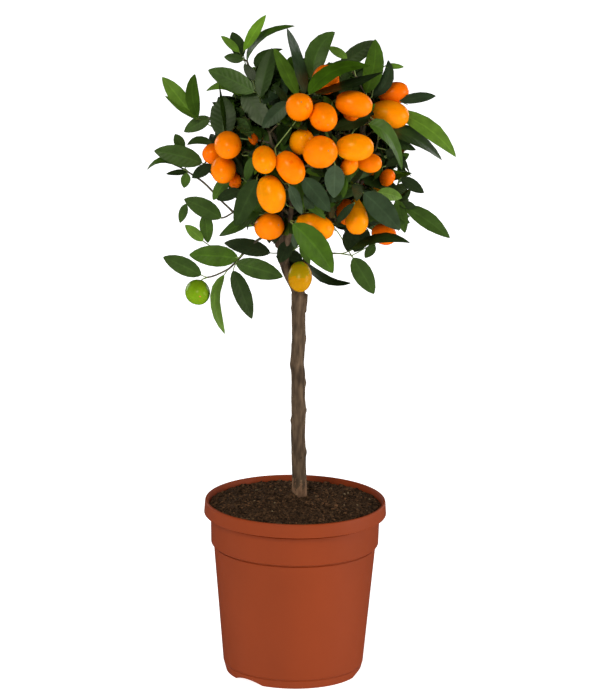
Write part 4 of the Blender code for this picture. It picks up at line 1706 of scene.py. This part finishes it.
def make_soil():
    """The body of soil: up the pot's wall, then over its surface in rings turned by half a side."""
    points = [Vector((0.0, 0.0, SOIL_WALL[0][1]))]
    for radius, height in SOIL_WALL:
        points += ring_points(radius, height, SOIL_SEGMENTS)
    for ring in range(SOIL_RINGS):
        radius = SOIL_RADIUS * (1.0 - ring / SOIL_RINGS)
        places = ring_points(radius, 0.0, SOIL_SEGMENTS, 0.5 * (ring % 2))
        points += [on_soil(place.x, place.y) for place in places]
    points.append(on_soil(0.0, 0.0))
    shapes = Shapes()
    shapes.add(points, pointed_faces(len(SOIL_WALL) + SOIL_RINGS, SOIL_SEGMENTS))
    soil = shapes.make("soil_bed", [soil_material("soil", srgb(38, 26, 16), srgb(90, 66, 45))])
    add_piece(soil, "peat_soil", "soil")


def make_crumbs():
    """Crumbs of peat, bits of bark and pale grains scattered over the soil."""
    rng = random.Random(GROWTH_SEED + 2)
    bm = bmesh.new()
    bmesh.ops.create_icosphere(bm, subdivisions=1, radius=1.0)
    ball = [vertex.co.copy() for vertex in bm.verts]
    ball_faces = [tuple(vertex.index for vertex in face.verts) for face in bm.faces]
    bm.free()
    shapes = Shapes()
    for number in range(CRUMBS):
        radius = CRUMB_RADIUS * math.sqrt(rng.random())
        turn = rng.uniform(0.0, math.tau)
        x, y = radius * math.cos(turn), radius * math.sin(turn)
        size = rng.uniform(*CRUMB_SIZES) * (1.5 if rng.random() < 0.08 else 1.0)
        turned = Matrix.Rotation(rng.uniform(0.0, math.tau), 3, "Z")
        stretch = Vector((rng.uniform(0.8, 2.0), rng.uniform(0.7, 1.1), rng.uniform(0.5, 0.9)))
        middle = on_soil(x, y, 0.3 * size)
        points = []
        for place in ball:
            lump = place * (size * (1.0 + 0.35 * noise.noise(place * 1.7 + Vector((number, 0.0, 0.0)))))
            points.append(middle + turned @ stretched(lump, stretch))
        kind = rng.choices(range(len(CRUMB_WEIGHTS)), CRUMB_WEIGHTS)[0]
        shapes.add(points, ball_faces, [kind] * len(ball_faces))
    materials = [
        soil_material("crumb_dark", srgb(36, 25, 15), srgb(72, 52, 35)),
        soil_material("crumb_brown", srgb(66, 46, 30), srgb(102, 76, 52)),
        soil_material("crumb_bark", srgb(84, 58, 38), srgb(122, 88, 60)),
        soil_material("crumb_pale", srgb(100, 84, 60), srgb(134, 116, 88)),
    ]
    add_piece(shapes.make("soil_crumbs", materials), "peat_soil")


# Stage


def make_floor():
    """A white floor that curves up into a wall, far away. Only the lamps show in what is glossy."""
    profile = [Vector((0.0, 0.0)), Vector((FLOOR_RADIUS, 0.0))]
    for step in range(1, WALL_STEPS + 1):
        turn = math.radians(90.0) * step / WALL_STEPS
        out = FLOOR_RADIUS + WALL_HEIGHT * math.sin(turn)
        profile.append(Vector((out, WALL_HEIGHT * (1.0 - math.cos(turn)))))
    points, faces = lathe([*profile, profile[0]], FLOOR_SEGMENTS)
    shapes = Shapes()
    shapes.add(points[:-1], [face for face in faces if len(points) - 1 not in face])
    look = Look("floor_white", (0.80, 0.80, 0.80), 0.9, 0.0)
    look.set("Emission Color", (*WHITE, 1.0))
    look.set("Emission Strength", FLOOR_GLOW)
    floor = shapes.make("floor", [look.material])
    floor.visible_glossy = False
    floor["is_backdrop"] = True


def make_lights():
    for lamp in LAMPS:
        data = bpy.data.lights.new(lamp.name, "AREA")
        data.shape = "DISK"
        data.size = lamp.size
        data.energy = lamp.power
        data.color = lamp.colour
        light = bpy.data.objects.new(lamp.name, data)
        light.location = lamp.place
        light.rotation_euler = (LAMP_AIM - light.location).to_track_quat("-Z", "Y").to_euler()
        bpy.context.scene.collection.objects.link(light)
    world = bpy.data.worlds.new("studio")
    world.use_nodes = True
    background = world.node_tree.nodes["Background"]
    background.inputs["Color"].default_value = (*WHITE, 1.0)
    background.inputs["Strength"].default_value = WORLD_LIGHT
    world.cycles_visibility.glossy = False
    bpy.context.scene.world = world


def make_camera():
    data = bpy.data.cameras.new("camera")
    data.sensor_fit = "AUTO"
    data.sensor_width = SENSOR
    data.lens = LENS
    data.clip_end = FAR_CLIP
    camera = bpy.data.objects.new("camera", data)
    camera.matrix_world = Matrix.Translation(CAMERA_PLACE) @ CAMERA_TURN.to_4x4()
    bpy.context.scene.collection.objects.link(camera)
    bpy.context.scene.camera = camera
    bpy.context.scene.view_settings.view_transform = "Standard"


def all_limb_lines():
    """The middle line and radii of the trunk and of each bough, from the end at which it starts."""
    low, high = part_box("trunk")
    foot = (low + high) / 2.0
    foot.z = low.z
    lines = {"trunk": centre_line("trunk", LIMB_CUTS * 2, foot)}
    fork = lines["trunk"][-1][0]
    for name in BOUGHS:
        lines[name] = centre_line(name, LIMB_CUTS, fork)
    return lines


def write_sizes():
    boxes = {"cad": cad_box, "visual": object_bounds()}
    plain = {name: [[float(value) for value in corner] for corner in box] for name, box in boxes.items()}


make_camera()
make_lights()
make_floor()
limb_lines = all_limb_lines()
tree = grown_tree(limb_lines)
make_leaves(tree)
make_twigs(tree)
make_fruit(tree)
make_bark(limb_lines)
make_pot()
make_soil()
make_crumbs()
write_sizes()
